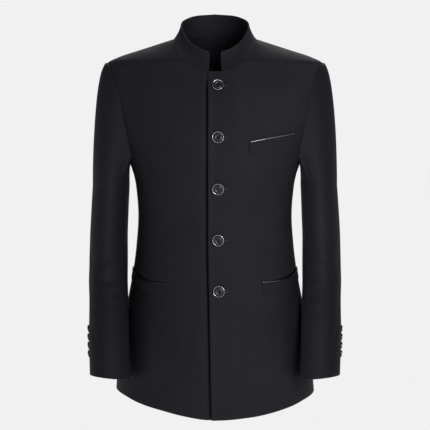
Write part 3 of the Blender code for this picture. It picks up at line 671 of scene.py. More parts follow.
# %% Painted shade for the pocket mouths
# Near-black and matt: painted shade for the hollow inside a pocket mouth, not a cloth of the blazer.
mouth_shade_matt = {"Roughness": 0.95, "Specular IOR Level": 0.05}
mouth_shade_cloth = mottled("pocketing_cotton_black", "#08080a", "#040405", "#0b0b0d", 1600.0, 2.0, mouth_shade_matt, "UV")
print("made", mouth_shade_cloth.name)

# %% Button resin, plated rim and thread
cast = {"Roughness": 0.24, "Specular IOR Level": 0.3}
resin = mottled("moulded_resin_black", "#121215", "#08080a", "#17171b", 260.0, 4.0, cast, Distortion=0.6)
spun = {"Roughness": 0.6, "Sheen Weight": 0.2}
thread = mottled("spun_polyester_thread", "#1d1c20", "#0d0c10", "#1c1b21", 2400.0, 2.0, spun)


def plate(name, preview, base, polished, hazy):
    """Bare metal whose roughness drifts between polished and hazy."""
    material, tree, shader = start_material(name, preview)
    haze = noise(tree, add(tree, "ShaderNodeTexCoord").outputs["Object"], 900.0, 3.0)
    rough = between(tree, haze, polished, hazy)
    plug(shader, {"Base Color": colour(base), "Metallic": 1.0, "Roughness": rough})
    return material


plated = plate("black_nickel_rim", "#b6b8bf", "#b6b8bf", 0.08, 0.2)
gunmetal = plate("gunmetal_ring", "#4b4c53", "#46474e", 0.28, 0.45)
print("made", [m.name for m in (resin, plated, gunmetal, thread)])

# %% [markdown]
# ## The two fronts
# Each front is one cut piece, from the side seam to past the centre. Its grid has two
# blocks. Below the armhole, rows run level from the edge to the side seam. Above it, they
# climb to the neckline and the shoulder seam, crowding like a sine where the cloth turns
# over the shoulder, while the last column follows the armhole. The under front has extra
# columns where it dips beside the upper one's edge.

# %% Grids of the fronts


def panel(node, outer, normal, hand=1.0, thick=CLOTH):
    """A wall of wool that stands in for one solid."""
    obj = wall(node + "_cloth", outer, normal, thick, wool, hand)
    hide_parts(node)


def neck_front(angle):
    """The front neckline: the half width times the sine, and minus the drop times the cosine."""
    return NECK_HALF_WIDTH * np.sin(np.radians(angle)), -NECK_DROP * np.cos(np.radians(angle))


def neck_back(angle):
    """The back neckline: the half width times the sine, and the rise times one less the sine."""
    sine = np.sin(np.radians(angle))
    return NECK_HALF_WIDTH * sine, NECK_BACK_RISE * (1.0 - np.abs(sine))


def shoulder_line(share):
    """A straight run outwards from the neck point, at the height where the section is that wide."""
    x = NECK_HALF_WIDTH + (SHOULDER_TIP[0] - NECK_HALF_WIDTH) * share
    heights = np.linspace(0.0, SHOULDER_TIP[1], 400)
    return x, np.interp(x, half_width(heights), heights)


def top_line(s, start, neck):
    """Top edge of a piece over its share s across: the neckline for the first half, then the shoulder."""
    angle = start + (90.0 - start) * np.clip(2.0 * s, 0.0, 1.0)
    x_neck, z_neck = neck(angle)
    x_shoulder, z_shoulder = shoulder_line(np.clip(2.0 * s - 1.0, 0.0, 1.0))
    return np.where(s <= 0.5, x_neck, x_shoulder), np.where(s <= 0.5, z_neck, z_shoulder)


def upper_block(s, t, x_base, z_base, x_top, z_top, arm_x, even):
    """Blend from chest row to top edge, sine-spaced, and lean the columns to the armhole by s cubed."""
    share = (1.0 - even) * np.sin(0.5 * np.pi * t) + even * t
    z = z_base + (z_top - z_base) * share
    straight = (1.0 - t) * x_base + t * x_top
    x = straight + s ** 3 * (arm_x(z[:, -1:]) - straight[:, -1:])
    return x, np.broadcast_to(z, x.shape)


def level_rows(turn_at, lowest, top, rise, hand):
    """Turns and heights of rows from hem to top. Each follows from the other, so six rounds settle them."""
    z = lowest + (top - lowest) * rise
    for _ in range(6):
        turn = turn_at(z)
        z = hem(turn, hand) + (top - hem(turn, hand)) * rise
    return turn, z


def front_grid(edge, s, rise, t, hand):
    """Turns and heights of a front: level rows below the armhole, the blended block above it."""
    def turn_at(z):
        """Turns across a level row, from the edge to the side seam."""
        start = turn_of(-edge(z), z)
        return start + s * (front_seam(z) - start)

    turn, z = level_rows(turn_at, float(hem(0.0)), FRONT_JUNCTION_Z, rise, hand)
    x_base = body(turn[-1], z[-1])[0][:, 0]
    first = -np.degrees(np.arcsin(float(edge(-60.0)) / NECK_HALF_WIDTH))
    x_top, z_top = top_line(s, first, neck_front)
    even = np.clip(1.0 - 2.0 * s, 0.0, 1.0) ** 1.5
    x, z_up = upper_block(s, t, x_base, FRONT_JUNCTION_Z, x_top, z_top, armhole_front, even)
    return np.concatenate([turn, turn_of(x, z_up)[1:]]), np.concatenate([z, z_up[1:]])


across = spaced(220.0, 3.2)
low_rows = spaced(500.0, 4.0, True, False)[:, None]
high_rows = spaced(220.0, 3.8, False, True)[:, None]
recess_columns = np.linspace(0.08, 0.24, 26)
arms = {}
for side, hand in SIDES:
    edge = front_edge if hand > 0.0 else underlap
    columns = across if hand > 0.0 else np.unique(np.concatenate([across, recess_columns]))
    turn, z = front_grid(edge, columns, low_rows, high_rows, hand)
    outer, normal = front_face(turn, z, hand)
    arms[side, "front"] = np.concatenate([outer, normal], axis=2)[len(low_rows) - 1:, -1]
    panel("front_" + side, outer, normal, hand)
print("fronts of", len(low_rows) + len(high_rows) - 1, "rows")

# %% [markdown]
# ## The back and the pieces under the arms
# The back is cut in two halves with a seam down the middle, which lets a tailor shape the
# waist. A narrow piece under each arm joins front to back. Their rows start at the same
# heights along the seams, so the seams close evenly.

# %% Back halves and side pieces
back_across = spaced(215.0, 3.4)
side_across = spaced(75.0, 3.2)


def back_turn(z):
    """Turns across a level row of a back half, from the centre seam to the side seam."""
    return 180.0 + back_across * (back_seam(z) - 180.0)


def side_turn(z):
    """Turns across a level row of a side piece, from seam to seam."""
    return front_seam(z) + side_across * (back_seam(z) - front_seam(z))


for side, hand in SIDES:
    turn, z = level_rows(back_turn, -700.0, BACK_JUNCTION_Z, low_rows, hand)
    x_base = body(turn[-1], z[-1])[0][:, 0]
    top_x, top_z = top_line(back_across, 0.0, neck_back)
    x, z_up = upper_block(back_across, high_rows, x_base, BACK_JUNCTION_Z, top_x, top_z, armhole_back, 0.0)
    turn = np.concatenate([turn, turn_of(np.maximum(x, 1e-6), z_up, back=True)[1:]])
    z = np.concatenate([z, z_up[1:]])
    outer, normal = body(turn, z, hand)
    outer[:, 0, 0] = 0.0
    arms[side, "back"] = np.concatenate([outer, normal], axis=2)[len(low_rows) - 1:, -1]
    panel("back_" + side, outer[:, ::-1], normal[:, ::-1], hand)

    turn, z = level_rows(side_turn, -690.0, underarm(side_across), low_rows, hand)
    outer, normal = body(turn, z, hand)
    arms[side, "under"] = np.concatenate([outer, normal], axis=2)[-1]
    panel("side_" + side, outer, normal, hand)
print("backs of", len(back_across), "columns, sides of", len(side_across))

# %% [markdown]
# ## The sleeves
# A tailored sleeve has two pieces, a broad upper and a narrow under one, and a pitch forward
# from the elbow. Its grid starts on the armhole edges of the body, runs out and over the
# sleeve head on cubic curves, and goes on as rings down to the cuff. The creases lie where
# an arm bends: inside the elbow, below the armhole and across the forearm.

# %% Sleeve sizes and creases
BICEPS_Z, CUFF_Z, CUFF_TILT, SLEEVE_TWIST = -290.0, -662.0, -0.09, 25.0
CUFF_SLANT = 0.11
SLEEVE = (
    (-290, 207.5, 5, 36.5, 78),
    (-340, 210, 1, 37, 74),
    (-400, 212, -6, 37.5, 70),
    (-470, 212, -22, 38.5, 65),
    (-520, 209.5, -46, 38.5, 60),
    (-580, 207.5, -78, 39, 57),
    (-662, 203.5, -112, 38.5, 54),
)
BROAD_SLEEVE = (
    (150, -415, 75, -440, 13, -4),
    (160, -462, 70, -478, 13, -4.5),
    (165, -515, 90, -500, 13, -3.5),
    (20, -455, 70, -430, 16, -2),
    (-120, -330, -60, -420, 18, -3),
    (30, -560, 70, -610, 14, -2),
    (60, -140, 80, -290, 16, -3),
)
FINE_SLEEVE = (
    (40, -210, 120, -262, 9, -1.3),
    (60, -300, 140, -282, 8, -1.1),
    (150, -392, 60, -408, 7, -1.2),
    (165, -438, 50, -452, 7, -1.5),
    (160, -488, 40, -474, 7, -1.4),
    (150, -532, 70, -516, 8, -1),
    (20, -380, 44, -560, 10, -0.9),
    (-30, -300, -16, -470, 11, -0.9),
    (-110, -420, -40, -452, 9, -1.2),
    (-140, -470, -60, -486, 8, -1.3),
    (-130, -540, -70, -520, 9, -0.9),
    (-60, -130, -80, -250, 11, -1.4),
    (30, -620, 100, -604, 8, -0.7),
)
sleeve_x, sleeve_y, sleeve_half_width, sleeve_half_depth = (curve_of(SLEEVE, k) for k in (1, 2, 3, 4))


def sleeve_ring(theta, z):
    """An ellipse about the arm's middle: out by the cosine, forwards by the sine, twisted going down."""
    down = (BICEPS_Z - z) / (BICEPS_Z - CUFF_Z)
    round_it = theta + SLEEVE_TWIST * down
    swell = ridge_swell(BROAD_SLEEVE, round_it, z) * ease(z, CUFF_Z, CUFF_Z + 60.0)
    x = sleeve_x(z) + (sleeve_half_width(z) + swell) * np.cos(np.radians(round_it))
    y = sleeve_y(z) - (sleeve_half_depth(z) + swell) * np.sin(np.radians(round_it))
    tilt = CUFF_TILT * (y - sleeve_y(z)) * down
    tilt = tilt + CUFF_SLANT * (x - sleeve_x(z) + sleeve_half_width(z)) * down ** 2
    return np.stack(np.broadcast_arrays(x, y, z + tilt), -1)


def sleeve_grid(armhole, head_rows, arm_rows, hand):
    """Cubic curves from the armhole loop to the first ring, then rings; creases push along normals."""
    loop, facing = armhole[:, :3], armhole[:, 3:]
    middle_z = 0.5 * (loop[:, 2].max() + loop[:, 2].min())
    reach_z = 0.5 * (loop[:, 2].max() - loop[:, 2].min())
    theta = np.degrees(np.arctan2(-loop[:, 1] / 65.0, (loop[:, 2] - middle_z) / reach_z))
    theta = np.where(theta < -160.0, theta + 360.0, theta)
    start = loop + np.array([1.0, 0.0, 0.0]) * (0.2 - 1.5 * np.clip(facing[:, :1], 0.0, 1.0) ** 2)
    end = sleeve_ring(theta, np.full(len(theta), BICEPS_Z))
    height = np.clip((loop[:, 2] - loop[:, 2].min()) / (2.0 * reach_z), 0.0, 1.0)
    push = 14.0 + 64.0 * height ** 1.5
    out = np.stack([push, 0.0 * push, push * 0.22 * ease(height, 0.8, 1.0)], -1)
    drop = 0.8 * np.linalg.norm(end - start, axis=1)
    down = np.stack([0.0 * drop, 0.0 * drop, -drop], -1)
    u = head_rows[:, None, None]
    head = (1.0 + 2.0 * u) * (1.0 - u) ** 2 * start + u * (1.0 - u) ** 2 * out
    head = head + u * u * (3.0 - 2.0 * u) * end - u * u * (1.0 - u) * down
    z = (BICEPS_Z + (CUFF_Z - BICEPS_Z) * arm_rows[1:])[:, None]
    points = np.concatenate([head, sleeve_ring(theta[None], z + 0.0 * theta)])
    normal = -grid_normals(points, around=True)
    normal = normal * np.sign(normal[0, 0, 2])
    steps = np.cumsum(np.linalg.norm(np.diff(points, axis=0), axis=2), axis=0)
    run = np.concatenate([np.zeros((1, len(theta))), steps])
    rope = 0.9 * np.exp(-(((run - 6.0) / 3.5) ** 2)) * ease(height, 0.35, 0.8)
    low = np.clip((BICEPS_Z - points[..., 2]) / (BICEPS_Z - CUFF_Z), 0.0, 1.0)
    turned = np.where(theta > 180.0, theta - 360.0, theta)[None] + SLEEVE_TWIST * low
    fine = creases(FINE_SLEEVE, turned, points[..., 2] + 5.0 * hand) * ease(run, 4.0, 26.0)
    fine = fine * ease(points[..., 2], CUFF_Z + 8.0, CUFF_Z + 50.0)
    wave = undulation(turned * 1.2, points[..., 2], 0.6 + hand) * ease(run, 4.0, 30.0)
    cuff_mark = edge_dip(points[..., 2] - CUFF_Z - 38.0, 1.8, 0.15)
    points = points + normal * (rope + fine + wave + cuff_mark)[..., None]
    return points, normal, theta


print("sleeve from", BICEPS_Z, "to", CUFF_Z, "mm with", len(FINE_SLEEVE), "creases")

# %% Make the sleeves
HIND_SEAM_SHARE = 5.0 / 9.0
head_rows = spaced(240.0, 4.0, True, False)
arm_rows = spaced(BICEPS_Z - CUFF_Z, 3.8, False, True)
hind = int(np.argmin(np.abs(high_rows[:, 0] - HIND_SEAM_SHARE)))
for side, hand in SIDES:
    front_arm = arms[side, "front"]
    loop = np.concatenate([front_arm[::-1], arms[side, "under"][1:-1], arms[side, "back"][:-1]])
    points, normal, theta = sleeve_grid(loop, head_rows, arm_rows, hand)
    front_column = len(front_arm) - 1
    hind_column = len(front_arm) + len(arms[side, "under"]) - 2 + hind
    under = np.arange(front_column, hind_column + 1)
    top = np.concatenate([np.arange(hind_column, len(loop)), np.arange(0, front_column + 1)])
    for label, columns in (("top", top), ("under", under)):
        outer, out_normal = (grid[::-1][:, columns[::-1]] for grid in (points, normal))
        panel("sleeve_" + label + "_" + side, outer, out_normal, hand)
print("sleeves of", len(loop), "columns round the armhole")

# %% [markdown]
# ## The standing collar
# A mandarin collar is a firm band, cut in a slight curve so that it leans in towards the
# neck. It is stiffened inside, so it has almost no folds. The band runs from the neckline
# to its own top edge, flaring a little at its foot, and its two front corners are rounded.

# %% Collar
COLLAR_TOP = (
    (0, -31), (15, -27.5), (25, -23.5), (34, -18.5), (52, -4.5), (66, 8.5),
    (80, 20.5), (90, 28), (120, 42), (150, 51), (180, 54),
)
COLLAR_TOP_HALF_WIDTH, COLLAR_TOP_FRONT, COLLAR_TOP_BACK = 68.0, -78.0, 60.0
COLLAR_ENDS = (9.0, -8.6)
CORNER_RADIUS = 5.0
collar_top = curve_of(COLLAR_TOP)

span = 360.0 + COLLAR_ENDS[1] - COLLAR_ENDS[0]
turns = COLLAR_ENDS[0] + span * spaced(460.0, 2.6)
signed = np.where(turns > 180.0, turns - 360.0, turns)
sign, size = np.sign(signed), np.abs(signed)
is_front = size <= 90.0
x_front, z_front = neck_front(size)
x_rear, z_rear = neck_back(180.0 - size)
low_x, low_z = np.where(is_front, x_front, x_rear), np.where(is_front, z_front, z_rear)
low_turn = np.where(is_front, turn_of(low_x, low_z), turn_of(np.maximum(low_x, 1e-6), low_z, back=True))
low, low_normal = body(low_turn, low_z)
low = low + low_normal * (np.where(sign > 0.0, lap_lift(low_x), 0.0) * is_front)[:, None]
low[:, 0] *= sign
low_normal[:, 0] *= sign
middle = 0.5 * (COLLAR_TOP_BACK + COLLAR_TOP_FRONT)
depth = 0.5 * (COLLAR_TOP_BACK - COLLAR_TOP_FRONT)
high_x = sign * COLLAR_TOP_HALF_WIDTH * np.sin(np.radians(size))
high = np.stack([high_x, middle - depth * np.cos(np.radians(size)), collar_top(size)], -1)
to_end = CORNER_RADIUS * near_ends(low, CORNER_RADIUS)
tall = np.linalg.norm(high - low, axis=1)
short = CORNER_RADIUS - np.sqrt(CORNER_RADIUS ** 2 - (CORNER_RADIUS - to_end) ** 2)
v = spaced(42.0, 1.7)[:, None, None] * (1.0 - short / tall)[None, :, None]
lean = 1.0 - (1.0 - v) ** 1.8
points = low + (high - low) * np.concatenate([lean, lean, v], axis=2)
normal = grid_normals(points)
up_run = v[..., 0] * tall
normal = normal + (unit(low_normal) - normal) * np.clip(1.0 - up_run / 4.0, 0.0, 1.0)[..., None]
normal = unit(normal)
points = points + normal * (edge_dip(up_run - (tall - 5.0)) + 0.5 * np.sin(np.pi * v[..., 0]))[..., None]
panel("collar", points, normal, 1.0, COLLAR_CLOTH)

# %% [markdown]
# ## Pockets
# The chest has one slanting welt, and each hip a slanted pocket whose mouth is edged in
# satin. A welt is a narrow folded strip that lies on the front, so its grid is the front's
# own surface moved out. The piping is a round cord of satin carried along the mouth. Above
# it the mouth shows as a near-black strip, painted shade for the hollow of the opening, under a rolled lip of
# the cloth.

# %% Welts and piping
BREAST_POCKET = ((65, -206), (93, -200.5), (121, -195), (149, -189.5))
SIDE_POCKET = ((31, -476), (42, -475.5), (54, -473), (66, -468), (76, -461), (84, -453))
BREAST_START, BREAST_WIDE = 65.0, 84.0
POCKET_START, POCKET_WIDE, POCKET_RUN = 31.0, 53.0, 150.0
RIGHT_POCKET_DROP = 4.0
HIP_GAPE = 1.6
HIP_MOUTH = {"left": (1.6, 6.3), "right": (1.6, 4.9)}
BREAST_MOUTH = (0.8, 0.8)
WELT_HEIGHT, WELT_CLOTH, PIPING_RADIUS, SEAT_GAP = 20.0, 1.5, 1.5, 0.4


def gaping(share):
    """Share of the gape along a hip pocket's mouth, whose ends are sewn down flat."""
    return ease(share, 0.45, 0.75) * (1.0 - ease(share, 0.8, 1.0))


def welt(name, turn, mouth_z, hand, gape):
    """A strip below the mouth: the front's face, plus the seat gap and thickness, plus a low pillow."""
    rows = spaced(WELT_HEIGHT, 1.6)
    drop = WELT_HEIGHT * (1.0 - rows)[:, None]
    face, normal = front_face(turn + 0.0 * drop, mouth_z - drop, hand)
    share = np.linspace(0.0, 1.0, len(turn))
    pillow = 0.35 * np.sin(np.pi * rows)[:, None] * np.sin(np.pi * share) ** 0.3
    open_it = gape * gaping(share) * ease(rows, 0.2, 1.0)[:, None]
    outer = face + normal * (SEAT_GAP + WELT_CLOTH + pillow + open_it)[..., None]
    panel(name, outer, normal, hand, WELT_CLOTH)


def ring_points(centre, side_a, side_b, radius, sides):
    """Rings about a row of centres: radius times cosine and sine of two side directions."""
    angle = np.linspace(0.0, 2.0 * np.pi, sides, endpoint=False)
    ring = np.cos(angle)[:, None] * side_a[:, None] + np.sin(angle)[:, None] * side_b[:, None]
    return centre[:, None] + radius[:, None, None] * ring


def round_faces(count, sides, flip):
    """Faces of a row of rings that a tip closes at each end; the tips are numbered after the rings."""
    k, n = np.arange(sides), np.roll(np.arange(sides), -1)
    row = np.arange(count - 1)[:, None] * sides
    quads = np.stack([row + k, row + k + sides, row + n + sides, row + n], -1).reshape(-1, 4)
    tip, none, last = np.full(sides, count * sides), np.full(sides, -1), (count - 1) * sides
    first = np.stack([tip, k, n, none], -1)
    final = np.stack([tip + 1, last + n, last + k, none], -1)
    faces = np.concatenate([first, quads, final])
    return flipped(faces) if flip else faces


def tube(name, centre, side_a, side_b, radius, sides, material, hand=1.0):
    """A round bar along a path, capped. Its cut runs along it and round its widest ring."""
    rings = ring_points(centre, side_a, side_b, radius, sides)
    points = np.concatenate([rings.reshape(-1, 3), centre[:1], centre[-1:]])
    flip = np.dot(np.cross(side_a[0], side_b[0]), centre[1] - centre[0]) > 0.0
    run = run_of(centre)
    round_it = radius.max() * np.linspace(0.0, 2.0 * np.pi, sides, endpoint=False)
    uv = np.stack(np.broadcast_arrays(run[:, None], round_it[None]), -1).reshape(-1, 2) * MM
    uv = np.concatenate([uv, uv[:1], uv[-1:]])
    obj = put_mesh(name, points, round_faces(len(centre), sides, flip), [material], uv, hand)
    print(f"{name}: {len(obj.data.polygons)} faces, {run[-1]:.0f} mm long")
    return obj


def piping(name, turn, mouth_z, hand, gape, material):
    """Satin along the mouth, one radius and the seat gap off the front, drawn thin at a hip's outer end."""
    share = np.linspace(0.0, 1.0, len(turn))
    thick = PIPING_RADIUS * (1.0 - (0.5 if gape else 0.0) * ease(share, 0.75, 1.0))
    face, normal = front_face(turn, mouth_z + thick + SEAM_GAP, hand)
    centre = face + normal * (thick + SEAT_GAP + gape * gaping(share))[:, None]
    along = unit(np.gradient(centre, axis=0))
    up = unit(np.cross(along, normal))
    up = up * np.sign(up[:, 2:])
    radius = thick * np.sqrt(np.clip(1.0 - (1.0 - near_ends(centre, 1.6)) ** 2, 0.02, 1.0))
    obj = tube(name + "_satin", centre, normal, up, radius, 12, material, hand)
    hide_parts(name)


def mouth(name, turn, mouth_z, hand, narrow, wide):
    """The dark opening above a piping: a near-black strip a hair off the front, painted shade for the hollow
    of the mouth, and a rolled lip of cloth over it.
    """
    share = np.linspace(0.0, 1.0, len(turn))
    tall = (narrow + (wide - narrow) * ease(share, 0.15, 0.75)) * (0.25 + 0.75 * np.sin(np.pi * share) ** 0.5)
    foot = mouth_z + 2.0 * PIPING_RADIUS
    rows = spaced(6.0, 2.0, False, False)[:, None]
    face, normal = front_face(turn + 0.0 * rows, foot + tall * rows, hand)
    # The strip's near-black colour is painted shade: it stands in for the shadow inside the opening.
    strip = wall(name + "_opening", face + normal * 0.25, normal, 0.2, mouth_shade_cloth, hand)
    lip_face, lip_normal = front_face(turn, foot + tall, hand)
    centre = lip_face - lip_normal * 0.15
    along = unit(np.gradient(centre, axis=0))
    up = unit(np.cross(along, lip_normal))
    lip = tube(name + "_lip", centre, lip_normal, up, 0.15 + 0.75 * near_ends(centre, 8.0), 10, wool, hand)
    return [strip, lip]


breast, side_mouth = curve_of(BREAST_POCKET), curve_of(SIDE_POCKET)
breast_x = BREAST_START + BREAST_WIDE * spaced(BREAST_WIDE, 2.0)
breast_z = breast(breast_x)
breast_turn = turn_of(breast_x, breast_z - 0.5 * WELT_HEIGHT)
cord_x = BREAST_START + BREAST_WIDE * spaced(BREAST_WIDE, 2.0, edge=ROUND_END)
welt("breast_welt", breast_turn, breast_z, 1.0, 0.0)
piping("breast_piping", np.interp(cord_x, breast_x, breast_turn), breast(cord_x), 1.0, 0.0, satin)
mouth_turn = POCKET_START + POCKET_WIDE * spaced(POCKET_RUN, 2.4)
cord_turn = POCKET_START + POCKET_WIDE * spaced(POCKET_RUN, 2.4, edge=ROUND_END)
trims = {}
for side, hand in SIDES:
    inner = 1.0 - ease(mouth_turn, POCKET_START, POCKET_START + POCKET_WIDE)
    mouth_z = side_mouth(mouth_turn) - RIGHT_POCKET_DROP * (hand < 0.0) * inner
    welt("pocket_welt_" + side, mouth_turn, mouth_z, hand, HIP_GAPE)
    cord_z = np.interp(cord_turn, mouth_turn, mouth_z)
    piping("pocket_piping_" + side, cord_turn, cord_z, hand, HIP_GAPE, shaded_satin[side])
    trims[side] = mouth("pocket_mouth_" + side, mouth_turn, mouth_z, hand, *HIP_MOUTH[side])
trims["left"] += mouth("breast_mouth", breast_turn, breast_z, 1.0, *BREAST_MOUTH)

# %% [markdown]
# ## Buttons
# A button is a turned shape: one profile carried round an axis. The front ones are 22 mm
# across with a plated rim and a thinner ring inside, on a dark resin face, and the cuff
# ones are 15 mm. The Spin tool would do, but a grid of profile points by angles is one line
# of numpy, and lets the rim have its own material.

# %% Turn the buttons
BUTTON_PROFILE = (
    (0, 3.7), (2, 3.7), (3.6, 3.75), (4.6, 3.9), (5, 4.25), (5.6, 4.4), (6.2, 4.25), (6.5, 3.9),
    (7.2, 3.7), (8.6, 3.7), (9.3, 3.8), (9.55, 4.4), (9.9, 5), (10.3, 5.25), (10.7, 5.05), (10.95, 4.6),
    (11, 4), (10.8, 3.3), (10, 2.7), (8, 2.4), (2.7, 2.2), (2.6, 1.9), (2.6, 0), (0, 0),
)
BUTTON_METAL = (10, 17)
BUTTON_RING = (3, 7)
CUFF_PROFILE = (
    (0, 2.5), (2.2, 2.5), (4, 2.55), (5.2, 2.7), (5.5, 3.1), (6, 3.4), (6.7, 3.35), (7.3, 2.9),
    (7.5, 2.3), (7.3, 1.5), (6, 1.1), (1.9, 1), (1.8, 0.8), (1.8, 0), (0, 0),
)
CUFF_METAL = (4, 9)


def turned(name, profile, steps, seat, out, metal, ring=(0, 0)):
    """A profile carried round the way out; metal and ring are the first and past-last rows so plated."""
    table = np.array(profile, float)
    out = unit(np.asarray(out, float))
    level = unit(np.cross(out, (0.0, 0.0, 1.0)))
    axis = seat + out * SEAM_GAP + table[:, 1:] * out
    rings = ring_points(axis[1:-1], level[None], np.cross(level, out)[None], table[1:-1, 0], steps)
    points = np.concatenate([rings.reshape(-1, 3), axis[[0, -1]]])
    row = np.repeat(np.arange(len(table) - 1), steps)
    marks = 1 * ((row >= metal[0]) & (row < metal[1])) + 2 * ((row >= ring[0]) & (row < ring[1]))
    faces = round_faces(len(table) - 2, steps, True)
    obj = put_mesh(name + "_turned", points, faces, [resin, plated, gunmetal], marks=marks)
    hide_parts(name)
    return obj


BUTTON_HEIGHTS = (-97.0, -196.0, -293.5, -392.0, -490.5)
BUTTON_OFFSET = 18.8
for k, z in enumerate(BUTTON_HEIGHTS):
    face, out = front_face(turn_of(BUTTON_OFFSET - float(front_edge(z)), z), z, 1.0)
    button = turned("button_" + str(k + 1), BUTTON_PROFILE, 48, face, out, BUTTON_METAL, BUTTON_RING)
print(len(BUTTON_HEIGHTS), "front buttons,", len(button.data.polygons), "faces each")

# %% [markdown]
# ## Cuff buttons
# Four small buttons sit almost edge to edge up the outside of each cuff, just in front of the
# hind seam. Each takes its place and its way out from the sleeve's own surface.

# %% Cuff buttons
CUFF_BUTTON_HEIGHTS = (-574.5, -590.5, -606.5, -622.5)
CUFF_BUTTON_ANGLE = -15.0
for side, hand in SIDES:
    flip = np.array([hand, 1.0, 1.0])
    for k, z in enumerate(CUFF_BUTTON_HEIGHTS):
        down = (BICEPS_Z - z) / (BICEPS_Z - CUFF_Z)
        around = CUFF_BUTTON_ANGLE - SLEEVE_TWIST * down + np.array([-4.0, 0.0, 4.0])
        ring = sleeve_ring(around, np.full(3, z))
        below = sleeve_ring(around[1], z - 4.0)
        out = unit(np.cross(ring[0] - ring[2], below - ring[1]))
        out = out * np.sign(out[0])
        name = "cuff_button_" + side + "_" + str(k + 1)
        turned(name, CUFF_PROFILE, 36, (ring[1] + 0.6 * out) * flip, out * flip, CUFF_METAL)
print("cuff buttons stand", (ring[1] * flip).round(1), "mm on the right sleeve")

# %% [markdown]
# ## Buttonholes and pick stitches
# A worked buttonhole is a slit ringed by close stitches, with a round eye by the edge where
# the shank sits. Only the far end shows beside a button. The front edge is held by tiny
# pick stitches 8 mm in, each no more than a grain of thread.

# %% Buttonholes


def loop_tube(name, centre, side_a, side_b, radius, sides, material):
    """A ring of round section, closed on itself."""
    count = len(centre)
    points = ring_points(centre, side_a, side_b, radius, sides)
    r, k = np.meshgrid(np.arange(count), np.arange(sides), indexing="ij")
    up, on = (r + 1) % count, (k + 1) % sides
    quads = np.stack([r * sides + k, up * sides + k, up * sides + on, r * sides + on], -1).reshape(-1, 4)
    if np.dot(np.cross(side_a[0], side_b[0]), centre[1] - centre[0]) > 0.0:
        quads = quads[:, ::-1]
    return put_mesh(name, points, quads, [material])


HOLE_SHIFT, HOLE_HALF_LONG, HOLE_HALF_TALL = 6.0, 12.0, 1.1
share = np.linspace(0.0, 2.0 * np.pi, 160, endpoint=False)
across = np.sign(np.cos(share)) * np.abs(np.cos(share)) ** 0.35
for k, z in enumerate(BUTTON_HEIGHTS):
    ring_x = BUTTON_OFFSET - float(front_edge(z)) + HOLE_SHIFT + HOLE_HALF_LONG * across
    ring_z = z + HOLE_HALF_TALL * np.sin(share)
    face, out = front_face(turn_of(ring_x, ring_z), ring_z, 1.0)
    stitches = 0.62 + 0.1 * np.sin(share * 46.0)
    centre = face + out * 0.55
    along = unit(np.roll(centre, -1, axis=0) - np.roll(centre, 1, axis=0))
    sideways = unit(np.cross(along, out))
    hole = loop_tube("buttonhole_" + str(k + 1), centre, out, sideways, stitches, 8, thread)
print("five buttonholes of", len(hole.data.polygons), "faces")

# %% Pick stitches along the front edge


def stitch_row(name, ends_a, ends_b, out, radius, material):
    """A short six-sided bar from each first end to each second end, capped by points that dip in."""
    along = unit(ends_b - ends_a)
    side = unit(np.cross(along, out))
    radii = np.full(len(ends_a), radius)
    bars = [ring_points(ends, out, side, radii, 6) for ends in (ends_a, ends_b)]
    tips = np.stack([ends_a - along * 0.5 * radius, ends_b + along * 0.5 * radius], 1)
    points = np.concatenate(bars + [tips], axis=1)
    one = round_faces(2, 6, np.dot(np.cross(out[0], side[0]), along[0]) > 0.0)
    shift = np.arange(len(ends_a))[:, None, None] * points.shape[1]
    faces = np.where(one[None] < 0, -1, one[None] + shift).reshape(-1, 4)
    obj = put_mesh(name, points, faces, [material])
    print(f"{name}: {len(ends_a)} stitches")
    return obj


STITCH_PITCH, STITCH_LONG = 4.5, 1.6
stitch_z = np.arange(-78.0, -730.0, -STITCH_PITCH)
stitch_x = STITCH_IN - front_edge(stitch_z)
first, out = front_face(turn_of(stitch_x, stitch_z), stitch_z, 1.0)
second, _ = front_face(turn_of(stitch_x, stitch_z - STITCH_LONG), stitch_z - STITCH_LONG, 1.0)
proud = out * 0.02
edge_stitches = stitch_row("front_edge_stitches", first + proud, second + proud, out, 0.24, thread)

# %% [markdown]
# ## Floor, light and camera
# The blazer hangs free over a pale paper floor, in air of the same pale tone. A broad soft
# light from the right of the camera models the body of the blazer, and each sleeve has a soft
# light of its own. Weaker ones fill from the left, from above and from behind. Light linking
# keeps all of them off the paper, which has a lamp of its own. The camera is a long lens, at
# the height of the chest, so that the front keeps its proportions.

# %% Stage
FLOOR_Z = -1.45
PALE = "#f1f1f1"
paper_matt = {"Roughness": 1.0, "Specular IOR Level": 0.0}
paper = mottled("seamless_paper_pale", PALE, "#f0f0f0", "#f2f2f2", 3.0, 2.0, paper_matt)
mesh = bpy.data.meshes.new("paper_floor")
corner = np.array([(-1, -1), (1, -1), (1, 1), (-1, 1)]) * 60.0
mesh.from_pydata([(x, y, FLOOR_Z) for x, y in corner.tolist()], [], [(0, 1, 2, 3)])
mesh.materials.append(paper)
floor = bpy.data.objects.new("paper_floor", mesh)
bpy.context.scene.collection.objects.link(floor)
floor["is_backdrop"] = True

backdrop = bpy.data.collections.new("backdrop")
backdrop.objects.link(floor)
garment = bpy.data.collections.new("garment")
parts_lit = {name: bpy.data.collections.new(name) for name in ("left_sleeve", "right_sleeve", "torso")}
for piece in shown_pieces():
    garment.objects.link(piece)
    words = piece.name.split("_")
    parts_lit[words[2] + "_sleeve" if words[0] == "sleeve" else "torso"].objects.link(piece)


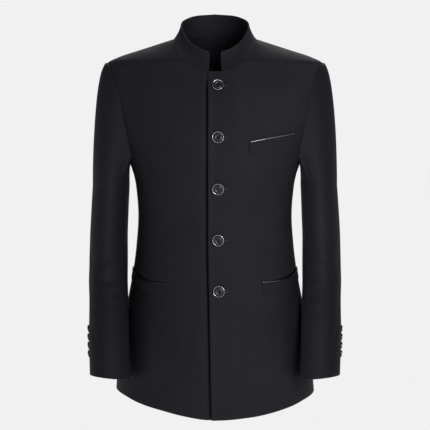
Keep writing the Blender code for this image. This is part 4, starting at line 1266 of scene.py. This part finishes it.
# %% Lights and camera
def turn_to(thing, place, aim):
    """Put a lamp or camera at a place, looking at a point."""
    thing.location = place
    thing.rotation_euler = (Vector(aim) - Vector(place)).to_track_quat("-Z", "Y").to_euler()
    bpy.context.scene.collection.objects.link(thing)


def lamp_at(name, kind, place, aim, energy, receivers):
    """A lamp that looks from its place at a point and lights one collection."""
    data = bpy.data.lights.new(name, kind)
    data.energy = energy
    lamp = bpy.data.objects.new(name, data)
    lamp.light_linking.receiver_collection = receivers
    turn_to(lamp, place, aim)
    return data


AIR = 0.2
for name, place, size, watts, lit in (
    ("key_right", (1.45, -2.85, 0.45), 1.2, 70.0, parts_lit["torso"]),
    ("key_left_sleeve", (-0.9, -3.0, 0.0), 1.2, 78.0, parts_lit["left_sleeve"]),
    ("key_right_sleeve", (1.4, -2.85, 0.2), 1.2, 56.0, parts_lit["right_sleeve"]),
    ("fill_left", (-1.6, -3.0, 0.3), 1.6, 3.0, garment),
    ("top_soft", (0.8, -0.2, 2.4), 1.8, 4.0, garment),
    ("back_soft", (0.3, 2.4, 2.2), 2.0, 52.0, garment),
):
    softbox = lamp_at(name, "AREA", place, (0.0, 0.0, -0.3), watts, lit)
    softbox.shape = "SQUARE"
    softbox.size = size
wash = lamp_at("floor_wash", "SUN", (0.0, 0.0, 4.0), (0.0, 0.0, 0.0), np.pi * (1.0 - AIR), backdrop)
wash.angle = np.radians(30.0)

world = bpy.data.worlds.new("studio_air")
world.use_nodes = True
tree = world.node_tree
tree.nodes.clear()
seen = add(tree, "ShaderNodeLightPath").outputs["Is Camera Ray"]
strength = between(tree, seen, AIR, colour(PALE)[0])
air = add(tree, "ShaderNodeBackground", None, {"Color": (1.0, 1.0, 1.0, 1.0), "Strength": strength})
add(tree, "ShaderNodeOutputWorld", inputs={"Surface": air.outputs["Background"]})
bpy.context.scene.world = world
bpy.context.scene.view_settings.view_transform = "Standard"

view = bpy.data.cameras.new("view")
view.sensor_fit = "HORIZONTAL"
view.sensor_width = 36.0
view.lens = 36.0 * 3.004 / 0.860
camera = bpy.data.objects.new("view", view)
turn_to(camera, (0.0, -3.0, -0.20), (0.0, 0.0, -0.350))
bpy.context.scene.camera = camera
print("lens", round(view.lens, 1), "mm")
